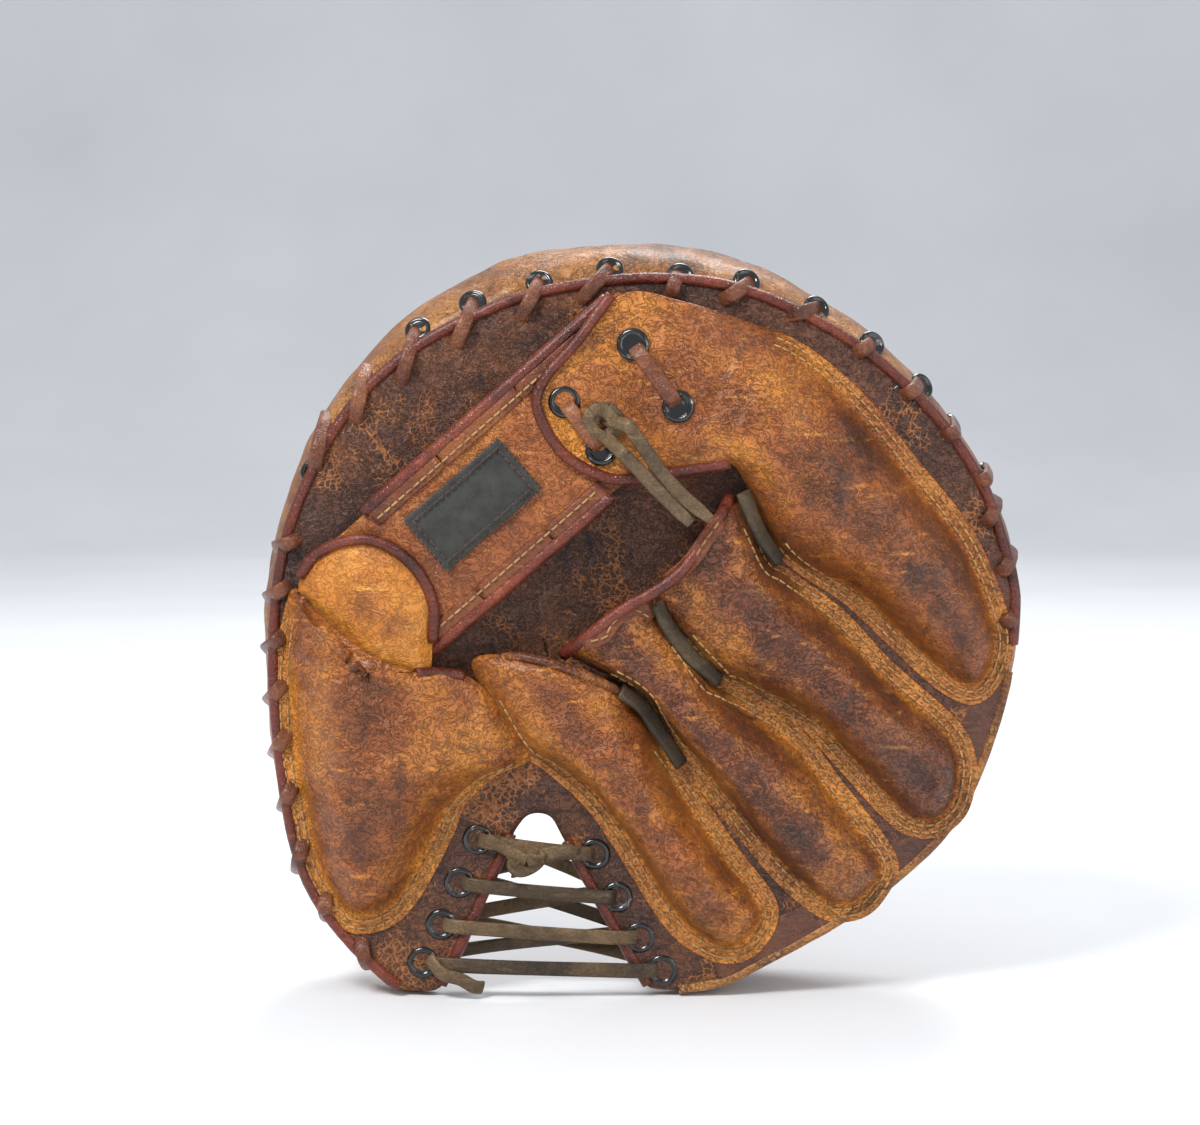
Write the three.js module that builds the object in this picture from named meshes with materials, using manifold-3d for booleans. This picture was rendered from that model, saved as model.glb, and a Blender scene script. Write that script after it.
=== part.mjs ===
// A vintage baseball catcher's mitt for the left hand, standing on its rim with the back of the hand facing -Y.
//
// A round pillow of felt sits in a one-piece front shell of leather. The shell wraps over the rim on to the back,
// where a rawhide lace whips its edge to the lining, the leather that the hand lies on. Hollow finger and thumb stalls
// are sewn to the lining, a strap crosses the wrist, and a laced gap separates the thumb from the index finger.
// The mitt closes on the ball by folding along a line from the heel to that gap, so the shell, pad, lining and rim
// are split there by a groove that is as wide as the fold needs.
//
// Everything is drawn in the mitt's own plane: x to the right, y up and h out of the back of the hand, in
// millimetres, with h = 0 on the lining. One group turns that plane upright, so that y becomes +Z and h becomes -Y.
import * as THREE from 'three';
import { mergeVertices } from 'three/addons/utils/BufferGeometryUtils.js';
import Module from 'manifold-3d';

const wasm = await Module();
wasm.setup();

// ---- Driving dimensions ----
const PALM = { x: 0, y: 141, radius: 145 };        // the round pillow, 290 mm across
const THUMB_LOBE = { x: -63, y: 74, radius: 82 };  // the thumb's corner of the outline
const OUTLINE_STEPS = 64;
const HUB = new THREE.Vector2(-6, 134);            // the outline's rings shrink towards this point
const PAD_CREST = 62;                              // depth of the padded ring below the lining's face
const POCKET_DEPTH = 27;                           // depth of the shell's face at the middle of the pocket
const LEATHER = 3;
const LINING = 2.5;
const GAP = 0.35;                                  // between touching pieces
const RIM_INSET = { side: 9, top: 14 };            // from the silhouette to the laced joint on the back
const STRETCH_FLAT = 6.5;                          // depth of two plain layers of leather beside the web gap
const WEB_FADE = 42;                               // the pillow thins to those layers over this distance
const CLOSING = 15;                                // degrees that the thumb side folds towards the pocket
const FOLD_GAP = 1.6;
const MITT_MIDDLE = 16.6;                          // half way from the pillow's crest to the highest lace

// ---- Colours ----
const material = (color, roughness, metalness = 0) =>
  new THREE.MeshStandardMaterial({ color, roughness, metalness });
const TAN = material(0xb5691f, 0.5);
const SHELL_TAN = material(0xa8662a, 0.6);
const CRACKED = material(0x5a3524, 0.75);
const OXBLOOD = material(0x7c2c17, 0.35);
const RAWHIDE = material(0x8f6c48, 0.8);
const SUEDE = material(0x5c5a43, 0.9);
const FELT = material(0xb9ac94, 0.95);
const PATCH = material(0x2c302c, 0.95);
const NICKEL = material(0x3a3b3e, 0.25, 0.9);

// ---- Solids ----
const solidOf = (geometry) => {
  const bare = geometry.index ? geometry.toNonIndexed() : geometry.clone();
  bare.deleteAttribute('normal');
  bare.deleteAttribute('uv');
  const merged = mergeVertices(bare, 1e-4);
  const solid = new wasm.Manifold(new wasm.Mesh({
    numProp: 3,
    vertProperties: merged.attributes.position.array,
    triVerts: new Uint32Array(merged.index.array),
  }));
  return solid;
};

const geometryOf = (solid) => {
  const mesh = solid.getMesh();
  const position = new Float32Array(mesh.numVert * 3);
  for (let i = 0; i < mesh.numVert; i++) {
    position.set(mesh.vertProperties.subarray(i * mesh.numProp, i * mesh.numProp + 3), i * 3);
  }
  return new THREE.BufferGeometry()
    .setAttribute('position', new THREE.BufferAttribute(position, 3))
    .setIndex(new THREE.BufferAttribute(mesh.triVerts, 1));
};

const mitt = new THREE.Group();
mitt.rotation.x = Math.PI / 2;
mitt.position.y = -MITT_MIDDLE;

const add = (name, shape, look) => {
  const geometry = shape.isBufferGeometry ? shape : geometryOf(shape);
  const mesh = new THREE.Mesh(geometry, look);
  mesh.name = name;
  mitt.add(mesh);
  return mesh;
};

// A flat shape standing from height low to height high.
const prism = (shape, low, high, curveSegments = 8) =>
  solidOf(new THREE.ExtrudeGeometry(shape, { depth: high - low, bevelEnabled: false, curveSegments })
    .translate(0, 0, low));

const block = (width, length, height, x, y, h) =>
  solidOf(new THREE.BoxGeometry(width, length, height).translate(x, y, h));

// A round cord or tube along points, with a polygon of sides as its section.
const tube = (points, radius, sides, steps, curveType = 'centripetal') => {
  const path = new THREE.CatmullRomCurve3(points, false, curveType);
  const section = new THREE.Shape(Array.from({ length: sides }, (_, i) => {
    const turn = i / sides * 2 * Math.PI;
    return new THREE.Vector2(radius * Math.cos(turn), radius * Math.sin(turn));
  }));
  return new THREE.ExtrudeGeometry(section, { steps, extrudePath: path, bevelEnabled: false });
};

// ---- The outline and the fold ----
const outline = new THREE.Path()
  .absarc(PALM.x, PALM.y, PALM.radius, -1.7, Math.PI, false)
  .absarc(THUMB_LOBE.x, THUMB_LOBE.y, THUMB_LOBE.radius, Math.PI, 1.5 * Math.PI, false)
  .closePath()
  .getSpacedPoints(OUTLINE_STEPS)
  .slice(0, -1);

// A point of the outline moved in by a distance, towards the hub.
const insetBy = (point, distance) => {
  const reach = point.clone().sub(HUB);
  return HUB.clone().addScaledVector(reach, 1 - distance / reach.length());
};

// The gap between thumb and index finger: two slanting edges that meet a short top edge.
const WEB = {
  topLeft: new THREE.Vector2(-49, 63),
  bottomLeft: new THREE.Vector2(-81, -8),
  topRight: new THREE.Vector2(-28, 61),
  bottomRight: new THREE.Vector2(9, -8),
};

const webShape = (margin) => {
  const shape = new THREE.Shape();
  shape.moveTo(WEB.bottomLeft.x - margin, WEB.bottomLeft.y - 20);
  shape.lineTo(WEB.bottomLeft.x - margin, WEB.bottomLeft.y);
  shape.lineTo(WEB.topLeft.x - margin, WEB.topLeft.y);
  shape.quadraticCurveTo(
    (WEB.topLeft.x + WEB.topRight.x) / 2, WEB.topLeft.y + 10 + margin, WEB.topRight.x + margin, WEB.topRight.y);
  shape.lineTo(WEB.bottomRight.x + margin, WEB.bottomRight.y);
  shape.lineTo(WEB.bottomRight.x + margin, WEB.bottomRight.y - 20);
  return shape;
};

// The laced joint lies nearer to the silhouette at the sides than at the top.
const jointInset = (y) =>
  THREE.MathUtils.lerp(RIM_INSET.side, RIM_INSET.top, THREE.MathUtils.clamp((y - PALM.y) / PALM.radius, 0, 1));

// How full the pillow is at a point: 0 up to a distance from the web gap, 1 well away from it.
const fullness = (point, from) => {
  const beyond = (from, to, side) => {
    const along = to.clone().sub(from).normalize();
    return side * (along.x * (point.y - from.y) - along.y * (point.x - from.x));
  };
  const distance = Math.max(
    beyond(WEB.bottomLeft, WEB.topLeft, 1),
    beyond(WEB.bottomRight, WEB.topRight, -1),
    point.y - WEB.topLeft.y);
  return THREE.MathUtils.smoothstep(distance, from, WEB_FADE);
};

const FOLD = {
  gap: new THREE.Vector2(-33, 60),    // where the fold meets the web gap
  heel: new THREE.Vector2(-98.5, 225), // and where it crosses the heel
};
const foldAngle = Math.atan2(FOLD.heel.y - FOLD.gap.y, FOLD.heel.x - FOLD.gap.x);
const foldAt = (y) => FOLD.gap.x + (y - FOLD.gap.y) * (FOLD.heel.x - FOLD.gap.x) / (FOLD.heel.y - FOLD.gap.y);

// The half of space on one side of the fold. Its face leans back by half of the closing angle below the lining.
const SPACE = 400;
const foldSide = (side) => solidOf(new THREE.BoxGeometry(2 * SPACE, SPACE, SPACE)
  .translate(0, side * (SPACE / 2 + FOLD_GAP / 2), 0)
  .rotateX(side * THREE.MathUtils.degToRad(CLOSING / 2))
  .rotateZ(foldAngle)
  .translate(FOLD.gap.x, FOLD.gap.y, 0));
const THUMB = foldSide(1);
const FINGERS = foldSide(-1);

// ---- Front shell, pad and lining ----
// A body whose rings follow the outline, each at an inset from the silhouette, a distance in from the laced joint or
// a share of the way to the hub. The front's rings thin towards the web gap.
const ringed = (rings) => {
  const count = outline.length;
  const position = [];
  const index = [];
  rings.forEach(({ inset = 0, share = 0, joint, depth, front, behind = 0 }) => {
    outline.forEach((corner) => {
      const distance = joint === undefined ? inset : jointInset(corner.y) + joint;
      const place = share ? corner.clone().lerp(HUB, share) : insetBy(corner, distance);
      const most = front ? THREE.MathUtils.lerp(STRETCH_FLAT, depth, fullness(place, front)) - behind : depth;
      position.push(place.x, Math.max(place.y, behind), -most);
    });
  });
  for (let ring = 0; ring < rings.length - 1; ring++) {
    for (let i = 0; i < count; i++) {
      const next = (i + 1) % count;
      const [a, b] = [ring * count + i, ring * count + next];
      const [c, d] = [a + count, b + count];
      index.push(a, d, b, a, c, d);
    }
  }
  const geometry = new THREE.BufferGeometry()
    .setAttribute('position', new THREE.Float32BufferAttribute(position, 3));
  geometry.setIndex(index);
  const flat = mergeVertices(geometry, 1e-3);
  const kept = [];
  const corners = flat.index.array;
  for (let i = 0; i < corners.length; i += 3) {
    const [a, b, c] = corners.slice(i, i + 3);
    if (a !== b && b !== c && c !== a) kept.push(a, b, c);
  }
  flat.setIndex(kept);
  return solidOf(flat);
};

// The pillow's surface, taken in by some thickness: from the laced joint over the rim to the middle of the pocket.
const pillowRings = (behind, joint, front) => [
  { joint, depth: behind, behind },
  { inset: 4 + behind, depth: 1.2 + behind, behind },
  { inset: 0.6 + behind, depth: 9, behind },
  { inset: behind, depth: 25, behind },
  { inset: 1.5 + behind, depth: 45, front, behind },
  { inset: 26, depth: PAD_CREST, front, behind },
  { share: 0.34, depth: 55, front, behind },
  { share: 0.62, depth: 33, front, behind },
  { share: 1, depth: POCKET_DEPTH, front, behind },
];
const SHELL_THINS = 2;           // distance from the web gap at which the pillow starts to fill
const PAD_THINS = 9;
const shellRings = [
  ...pillowRings(LEATHER, 0, SHELL_THINS).reverse(),
  ...pillowRings(0, 0, SHELL_THINS),
];
const padInset = LEATHER + 1;
const PAD_BASE = 7.5;
const padRings = [{ share: 1, depth: LINING + GAP }, ...pillowRings(padInset, 4, PAD_THINS)];

const webCut = prism(webShape(0), -90, 40);
const webPadCut = prism(webShape(21), -90, 40);

// The outline of the laced joint, moved in by a distance.
const jointOutline = (distance) => new THREE.Shape(outline.map((corner) => {
  const place = insetBy(corner, jointInset(corner.y) + distance);
  return place.setY(Math.max(place.y, LEATHER + GAP));
}));
const liningSheet = prism(jointOutline(GAP), -LINING, 0).subtract(webCut);

const hole = (x, y, radius, sides, low, high) =>
  solidOf(new THREE.CylinderGeometry(radius, radius, high - low, sides)
    .rotateX(Math.PI / 2).translate(x, y, (low + high) / 2));

// ---- Whip lace, rim piping and welt ----
// A place on the silhouette, by the distance along it: round the pillow's circle from its right-hand side, over the
// heel, then down the left-hand side and the thumb's lobe.
const onSilhouette = (along) => {
  const half = Math.PI * PALM.radius;
  const straight = PALM.y - THUMB_LOBE.y;
  if (along < half) {
    const turn = along / PALM.radius;
    return new THREE.Vector2(PALM.x + PALM.radius * Math.cos(turn), PALM.y + PALM.radius * Math.sin(turn));
  }
  if (along < half + straight) return new THREE.Vector2(PALM.x - PALM.radius, PALM.y - (along - half));
  const turn = Math.PI + (along - half - straight) / THUMB_LOBE.radius;
  return new THREE.Vector2(THUMB_LOBE.x + THUMB_LOBE.radius * Math.cos(turn),
    THUMB_LOBE.y + THUMB_LOBE.radius * Math.sin(turn));
};
// A place beside the laced joint, some distance in from it.
const rimPoint = (along, distance) => {
  const corner = onSilhouette(along);
  return insetBy(corner, jointInset(corner.y) + distance);
};
const STITCH = 24;              // from one pair of eyelets to the next
const UNDER = -7.5;
const LACE_RADIUS = 1.9;
const RIM_PIPING_RADIUS = 2;
const HOLE_OUT = 5.3;           // eyelets on the shell, measured out from the joint
const HOLE_IN = 6;              // and on the lining, measured in from it
const foldOnRim = PALM.radius * Math.acos(-105.4 / PALM.radius);

const rimStretch = (from, to, distance, h) => {
  const count = Math.max(3, Math.round((to - from) / 12));
  return Array.from({ length: count + 1 }, (_, i) => {
    const place = rimPoint(from + (to - from) * i / count, distance);
    return new THREE.Vector3(place.x, place.y, h);
  });
};

// The whip lace: over the piping, down a hole in the lining, back under the joint and up a hole in the shell.
const whipLace = (from, stitches) => {
  const points = [];
  for (let i = 0; i < stitches; i++) {
    const at = from + i * STITCH;
    const outside = rimPoint(at, -HOLE_OUT);
    const behind = rimPoint(at, 2.5 - HOLE_OUT);
    const inside = rimPoint(at + 0.2 * STITCH, HOLE_IN);
    const crown = rimPoint(at + 0.1 * STITCH, 0.6);
    points.push(new THREE.Vector3(behind.x, behind.y, UNDER));
    points.push(new THREE.Vector3(outside.x, outside.y, 1));
    points.push(new THREE.Vector3(crown.x, crown.y, 2 * RIM_PIPING_RADIUS + LACE_RADIUS + 3.1));
    points.push(new THREE.Vector3(inside.x, inside.y, 1));
    points.push(new THREE.Vector3(inside.x, inside.y, UNDER));
  }
  return points;
};
const RIM_START = 4;            // the lace starts just above the pillow's right-hand side
const THUMB_LACE = foldOnRim + 14;
const rimEnd = Math.PI * PALM.radius + (PALM.y - THUMB_LOBE.y) + 0.95 * THUMB_LOBE.radius;
const fingerStitches = Math.floor((foldOnRim - RIM_START - 8) / STITCH) + 1;
const thumbStitches = Math.floor((rimEnd - THUMB_LACE) / STITCH) + 1;
const laces = [
  { side: 'fingers', points: whipLace(RIM_START, fingerStitches) },
  { side: 'thumb', points: whipLace(THUMB_LACE, thumbStitches) },
];

// The pad leaves a channel under the joint for the lace to run in.
const channel = prism(jointOutline(-9), -12, 5).subtract(prism(jointOutline(11), -13, 6));
const laceHoles = laces.flatMap(({ points }) => points
  .filter(({ z }) => z === 1)
  .map(({ x, y }) => hole(x, y, 3.8, 6, -12, 3)));

const shellWhole = ringed(shellRings).subtract(webCut);
const padWhole = ringed(padRings).trimByPlane([0, 1, 0], PAD_BASE).subtract(webPadCut).subtract(channel);
const halves = [['fingers', FINGERS], ['thumb', THUMB]];

// ---- Web lace ----
const EYELET = { outer: 6.2, inner: 4.1, barrel: 4.7, sides: 10 };
const WEB_EYELETS = {
  thumb: [[-61.5, 60], [-68.5, 43.5], [-75.5, 27.5], [-82.5, 13]],
  fingers: [[-17.5, 54.5], [-9, 38], [-0.5, 22.5], [8, 10]],
};
const BACK_STRAND = 6.1;
const FRONT_STRAND = -STRETCH_FLAT - 9;
// The lace crosses the gap on the back and returns in front of it, through each pair of eyelets in turn.
const webLacePoints = () => {
  const points = [];
  WEB_EYELETS.thumb.forEach(([tx, ty], i) => {
    const [fx, fy] = WEB_EYELETS.fingers[i];
    const back = [[tx + 6.8, ty - 1], [(tx + fx) / 2, (ty + fy) / 2 - 3], [fx - 6.8, fy - 1]];
    points.push(new THREE.Vector3(tx, ty, -2));
    back.forEach(([x, y]) => points.push(new THREE.Vector3(x, y, BACK_STRAND)));
    points.push(new THREE.Vector3(fx, fy, -2));
    const next = WEB_EYELETS.thumb[i + 1];
    if (!next) return;
    points.push(new THREE.Vector3(fx - 5, fy - 2, FRONT_STRAND));
    points.push(new THREE.Vector3((next[0] + fx) / 2, (next[1] + fy) / 2, FRONT_STRAND - 1));
    points.push(new THREE.Vector3(next[0] + 5, next[1] + 1, FRONT_STRAND));
  });
  return points;
};
const webLace = webLacePoints();
const webLaceBody = solidOf(tube(webLace, 1.5, 6, (webLace.length - 1) * 3));
const webLaceRoom = solidOf(tube(webLace, 2.6, 6, (webLace.length - 1) * 3));

const eyelet = () => {
  const { outer, inner, barrel, sides } = EYELET;
  const profile = [[inner, -LINING], [barrel, -LINING], [barrel, GAP], [outer, GAP], [outer, 1.3], [inner, 1.3],
    [inner, -LINING]].map(([r, h]) => new THREE.Vector2(r, h));
  return new THREE.LatheGeometry(profile, sides).rotateX(Math.PI / 2);
};
const eyeletHole = (x, y, low, high) => hole(x, y, EYELET.barrel + GAP, EYELET.sides, low, high);

const webHoles = Object.values(WEB_EYELETS).flat().map(([x, y]) => eyeletHole(x, y, -16, 3));
const rimHoles = [...laceHoles, webLaceRoom, ...webHoles];

halves.forEach(([side, half]) => {
  const cut = (solid) => rimHoles.reduce((left, hole) => left.subtract(hole), solid).intersect(half);
  add('palm_shell_' + side, cut(shellWhole), SHELL_TAN);
  add('lining_' + side, cut(liningSheet), CRACKED);
  add('palm_pad_' + side, padWhole.subtract(webLaceRoom).intersect(half), FELT);
});

laces.forEach(({ side, points }) => {
  add('rim_lace_' + side, tube(points, LACE_RADIUS, 6, (points.length - 1) * 2), RAWHIDE);
});
const TOE_WELT_INSET = 1.6;
const pipingSpans = { fingers: [RIM_START - 6, foldOnRim - 3], thumb: [foldOnRim + 5, rimEnd + 8] };
Object.entries(pipingSpans).forEach(([side, [from, to]]) => {
  const points = rimStretch(from, to, 0, RIM_PIPING_RADIUS + GAP);
  add('rim_piping_' + side, tube(points, RIM_PIPING_RADIUS, 6, points.length), OXBLOOD);
});
const toePoints = rimStretch(-1.28 * PALM.radius, RIM_START - 16, TOE_WELT_INSET - RIM_INSET.side, 1.7);
add('toe_welt', tube(toePoints, RIM_PIPING_RADIUS, 8, toePoints.length), TAN);

add('web_lace', webLaceBody, RAWHIDE);
Object.entries(WEB_EYELETS).forEach(([side, places]) => places.forEach(([x, y], i) => {
  add('web_eyelet_' + side + '_' + (i + 1), eyelet(), NICKEL).position.set(x, y, 0);
}));

// Piping that binds each edge of the web gap, between the two layers' edges and the lace.
const webPiping = (top, bottom, side) => {
  const away = new THREE.Vector2(top.x - bottom.x, top.y - bottom.y).normalize();
  const along = (share) => new THREE.Vector3(
    bottom.x + (top.x - bottom.x) * share + side * away.y * 3.1, bottom.y + (top.y - bottom.y) * share, -1.5);
  return solidOf(tube([along(0.22), along(0.6), along(0.97)], 2.3, 8, 6)).subtract(webLaceRoom);
};
add('web_piping_thumb', webPiping(WEB.topLeft, WEB.bottomLeft, 1), OXBLOOD);
add('web_piping_fingers', webPiping(WEB.topRight, WEB.bottomRight, -1), OXBLOOD);

// ---- Finger and thumb stalls ----
const SEAM_BASE = 2.2;
const STALL_FLOOR = GAP + SEAM_BASE + GAP;
const STALL_WALL = 2.4;
const STALLS = {
  little: { mouth: [47, 199], tip: [127, 117], width: 34, height: 25 },
  ring: { mouth: [20, 172], tip: [114, 71], width: 35, height: 27 },
  middle: { mouth: [-10, 142], tip: [86, 37], width: 35, height: 28 },
  index: { mouth: [-42, 118], tip: [45, 17], width: 34, height: 27 },
};
const SEAM_WIDTH = 44;          // a finger's leather with its sewn margins

// A strip with one round end, from the mouth to the tip, drawn along +x from the origin.
const fingerPlan = (length, width, back) => {
  const shape = new THREE.Shape();
  shape.moveTo(-back, -width / 2);
  shape.lineTo(length - width / 2, -width / 2);
  shape.absarc(length - width / 2, 0, width / 2, -Math.PI / 2, Math.PI / 2, false);
  shape.lineTo(-back, width / 2);
  return shape;
};

// The same strip as a body with a bevelled top.
const fingerBody = (length, width, height, back, low) => {
  const bevel = 0.34 * height;
  const geometry = new THREE.ExtrudeGeometry(fingerPlan(length - bevel, width - 2 * bevel, back - bevel), {
    depth: height, bevelThickness: bevel, bevelSize: bevel, bevelSegments: 2, curveSegments: 4,
  });
  return solidOf(geometry.translate(0, 0, low - bevel)).intersect(
    block(2 * SPACE, SPACE, height, 0, 0, low + height / 2));
};

const placed = (solid, [fromX, fromY], [toX, toY]) => {
  const turn = THREE.MathUtils.radToDeg(Math.atan2(toY - fromY, toX - fromX));
  return solid.rotate([0, 0, turn]).translate([fromX, fromY, 0]);
};
const reach = ([fromX, fromY], [toX, toY]) => Math.hypot(toX - fromX, toY - fromY);

const stall = ({ mouth, tip, width, height }) => {
  const length = reach(mouth, tip);
  const outer = fingerBody(length, width, height - STALL_FLOOR, 0, STALL_FLOOR);
  const inner = fingerBody(
    length - STALL_WALL, width - 2 * STALL_WALL, height - STALL_FLOOR, 40, STALL_FLOOR - STALL_WALL);
  return placed(outer.subtract(inner), mouth, tip);
};

const LACE_ROOM = HOLE_IN + LACE_RADIUS + 0.8;
const rimLimit = prism(jointOutline(LACE_ROOM), -5, 60);
const toeLimit = prism(jointOutline(TOE_WELT_INSET + 2.5 - RIM_INSET.side), -5, 60)
  .intersect(block(SPACE, SPACE, SPACE, SPACE / 2, PALM.y - SPACE / 2 - 6, 0));
const seamBase = Object.values(STALLS)
  .map(({ mouth, tip }) => placed(
    prism(fingerPlan(reach(mouth, tip) + 5, SEAM_WIDTH, 3), GAP, GAP + SEAM_BASE, 6), mouth, tip))
  .reduce((whole, next) => whole.add(next))
  .intersect(rimLimit.add(toeLimit))
  .intersect(FINGERS);
const webRoom = [
  prism(webShape(6), -20, 60),
  ...WEB_EYELETS.fingers.map(([x, y]) => hole(x, y, EYELET.outer + GAP, EYELET.sides, -5, 60)),
];
const besideWeb = prism(webShape(19), -20, 60);
add('finger_seam_base', webRoom.reduce((left, hole) => left.subtract(hole), seamBase.subtract(besideWeb)), TAN);
Object.entries(STALLS).forEach(([name, size]) => add('stall_' + name, stall(size), TAN));

const THUMB_STALL = { mouth: [-97, 122], tip: [-97, 26], width: 52, height: 30 };
add('stall_thumb', stall(THUMB_STALL), TAN);
const thumbSeam = new THREE.Shape()
  .moveTo(-126, 128)
  .lineTo(-54, 108)
  .lineTo(-66, 84)
  .quadraticCurveTo(-76, 50, -82, 34)
  .quadraticCurveTo(-92, 20, -104, 22)
  .quadraticCurveTo(-128, 28, -129, 70);
const thumbEyeletRoom = WEB_EYELETS.thumb.map(([x, y]) => hole(x, y, EYELET.outer + GAP, EYELET.sides, -5, 60));
add('thumb_seam_base', thumbEyeletRoom.reduce(
  (left, hole) => left.subtract(hole), prism(thumbSeam, GAP, GAP + SEAM_BASE, 4).intersect(rimLimit)), TAN);

// Suede bindings on the slits between the stalls' mouths.
const slitBinding = (name, from, to) => {
  const size = reach(from, to);
  const plan = fingerPlan(size, 2.6, 0);
  add('slit_binding_' + name, placed(prism(plan, STALL_FLOOR, STALL_FLOOR + 13, 3), from, to), SUEDE);
};
const between = (first, second, share) => {
  const at = ({ mouth, tip }) => [
    mouth[0] + (tip[0] - mouth[0]) * share, mouth[1] + (tip[1] - mouth[1]) * share];
  const [a, b] = [at(STALLS[first]), at(STALLS[second])];
  return [(a[0] + b[0]) / 2, (a[1] + b[1]) / 2];
};
[['little', 'ring'], ['ring', 'middle'], ['middle', 'index']].forEach(([first, second]) => {
  slitBinding(first + '_' + second, between(first, second, 0.02), between(first, second, 0.26));
});

// Piping on the edge of the stalls' mouths, just outside them.
const mouthPiping = (name, points, radius = 2.3) => {
  add(name, tube(points.map(([x, y, h]) => new THREE.Vector3(x, y, h)), radius, 8, 12), OXBLOOD);
};
mouthPiping('opening_piping_fingers', [
  [31.5, 188.5, 12], [22, 180, 22], [5, 165, 25], [-7, 153, 24.5], [-22, 138, 22.5], [-29, 131, 12]]);

// ---- Wrist strap, tabs and label ----
const STRAP = { from: [-105.5, 145], to: [10, 246], width: 50 };
const STRAP_LENGTH = reach(STRAP.from, STRAP.to);
const STRAP_TURN = Math.atan2(STRAP.to[1] - STRAP.from[1], STRAP.to[0] - STRAP.from[0]);
const STRAP_LEATHER = 2.6;
const ARCH_SPAN = 1.25 * STRAP_LENGTH;
const ARCH_RISE = 14;

// The strap's underside above the lining, at a distance along it from the thumb's end.
const arch = (along) =>
  GAP + 1.4 + ARCH_RISE * Math.sin(Math.PI * THREE.MathUtils.clamp(along / ARCH_SPAN, 0, 1)) ** 0.8;
const archAt = (x, y) => arch(
  (x - STRAP.from[0]) * Math.cos(STRAP_TURN) + (y - STRAP.from[1]) * Math.sin(STRAP_TURN));

// A sheet that follows the arch, some lift above the strap's underside, wide enough to cut pieces from.
const ARCH_STEPS = 14;
const archSheet = (lift, thickness) => {
  const [start, end] = [-40, ARCH_SPAN + 20];
  const along = Array.from({ length: ARCH_STEPS + 1 }, (_, i) => start + (end - start) * i / ARCH_STEPS);
  const under = along.map((s) => new THREE.Vector2(s, arch(s) + lift));
  const over = along.map((s) => new THREE.Vector2(s, arch(s) + lift + thickness)).reverse();
  const sheet = new THREE.ExtrudeGeometry(new THREE.Shape([...under, ...over]), { depth: 160, bevelEnabled: false });
  return solidOf(sheet.translate(0, 0, -80).rotateX(Math.PI / 2))
    .rotate([0, 0, THREE.MathUtils.radToDeg(STRAP_TURN)])
    .translate([STRAP.from[0], STRAP.from[1], 0]);
};
const cutFromArch = (shape, lift, thickness) => archSheet(lift, thickness).intersect(prism(shape, -5, 60, 6));

const strapPlace = (along, across) => [
  STRAP.from[0] + along * Math.cos(STRAP_TURN) - across * Math.sin(STRAP_TURN),
  STRAP.from[1] + along * Math.sin(STRAP_TURN) + across * Math.cos(STRAP_TURN)];
const strapShape = (corners) => new THREE.Shape(corners.map((corner) => new THREE.Vector2(...strapPlace(...corner))));

const TAB_EYELETS = [[-28.5, 225], [-3.5, 246], [13, 223.5], [-15, 207.5]];
const laceUnder = (x, y) => archAt(x, y) - 3.4;
const tabTop = (x, y) => archAt(x, y) + STRAP_LEATHER + GAP + STRAP_LEATHER;
const tabLacePoints = () => {
  const [first, second, third, fourth] = TAB_EYELETS;
  const at = ([x, y], h) => new THREE.Vector3(x, y, h);
  const mid = ([ax, ay], [bx, by]) => [(ax + bx) / 2, (ay + by) / 2];
  const through = (hole) => [at(hole, tabTop(...hole) + 1), at(hole, laceUnder(...hole))];
  return [
    at([first[0] + 5, first[1] - 2], tabTop(...first) + 4.6), ...through(first),
    ...through(second).reverse(), at(mid(second, third), tabTop(...mid(second, third)) + 5),
    ...through(third), ...through(fourth).reverse()];
};
const tabLace = tabLacePoints();
const tabLaceRoom = solidOf(tube(tabLace, 2.6, 6, 30));

const halfWidth = STRAP.width / 2;
const strap = strapShape([[0, -halfWidth], [STRAP_LENGTH, -halfWidth], [STRAP_LENGTH, halfWidth], [0, halfWidth]]);
add('wrist_strap', cutFromArch(strap, 0, STRAP_LEATHER).subtract(tabLaceRoom), TAN);

const strapPiping = (name, from, to, side) => {
  const points = Array.from({ length: 9 }, (_, i) => {
    const along = from + (to - from) * i / 8;
    const [x, y] = strapPlace(along, side * (halfWidth + 2.3 + GAP));
    return new THREE.Vector3(x, y, arch(along) + 1.2);
  });
  add(name, tube(points, 2.3, 8, 14), OXBLOOD);
};
strapPiping('strap_piping_upper', 30, STRAP_LENGTH - 6, 1);
strapPiping('strap_piping_lower', 8, STRAP_LENGTH * 0.66, -1);

const LABEL = { along: 60.5, across: 3.5, length: 46, width: 24 };
const label = strapShape([[-1, -1], [1, -1], [1, 1], [-1, 1]].map(([a, b]) => [
  LABEL.along + a * LABEL.length / 2, LABEL.across + b * LABEL.width / 2]));
add('label_patch', cutFromArch(label, STRAP_LEATHER + GAP, 1.2), PATCH);

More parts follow.
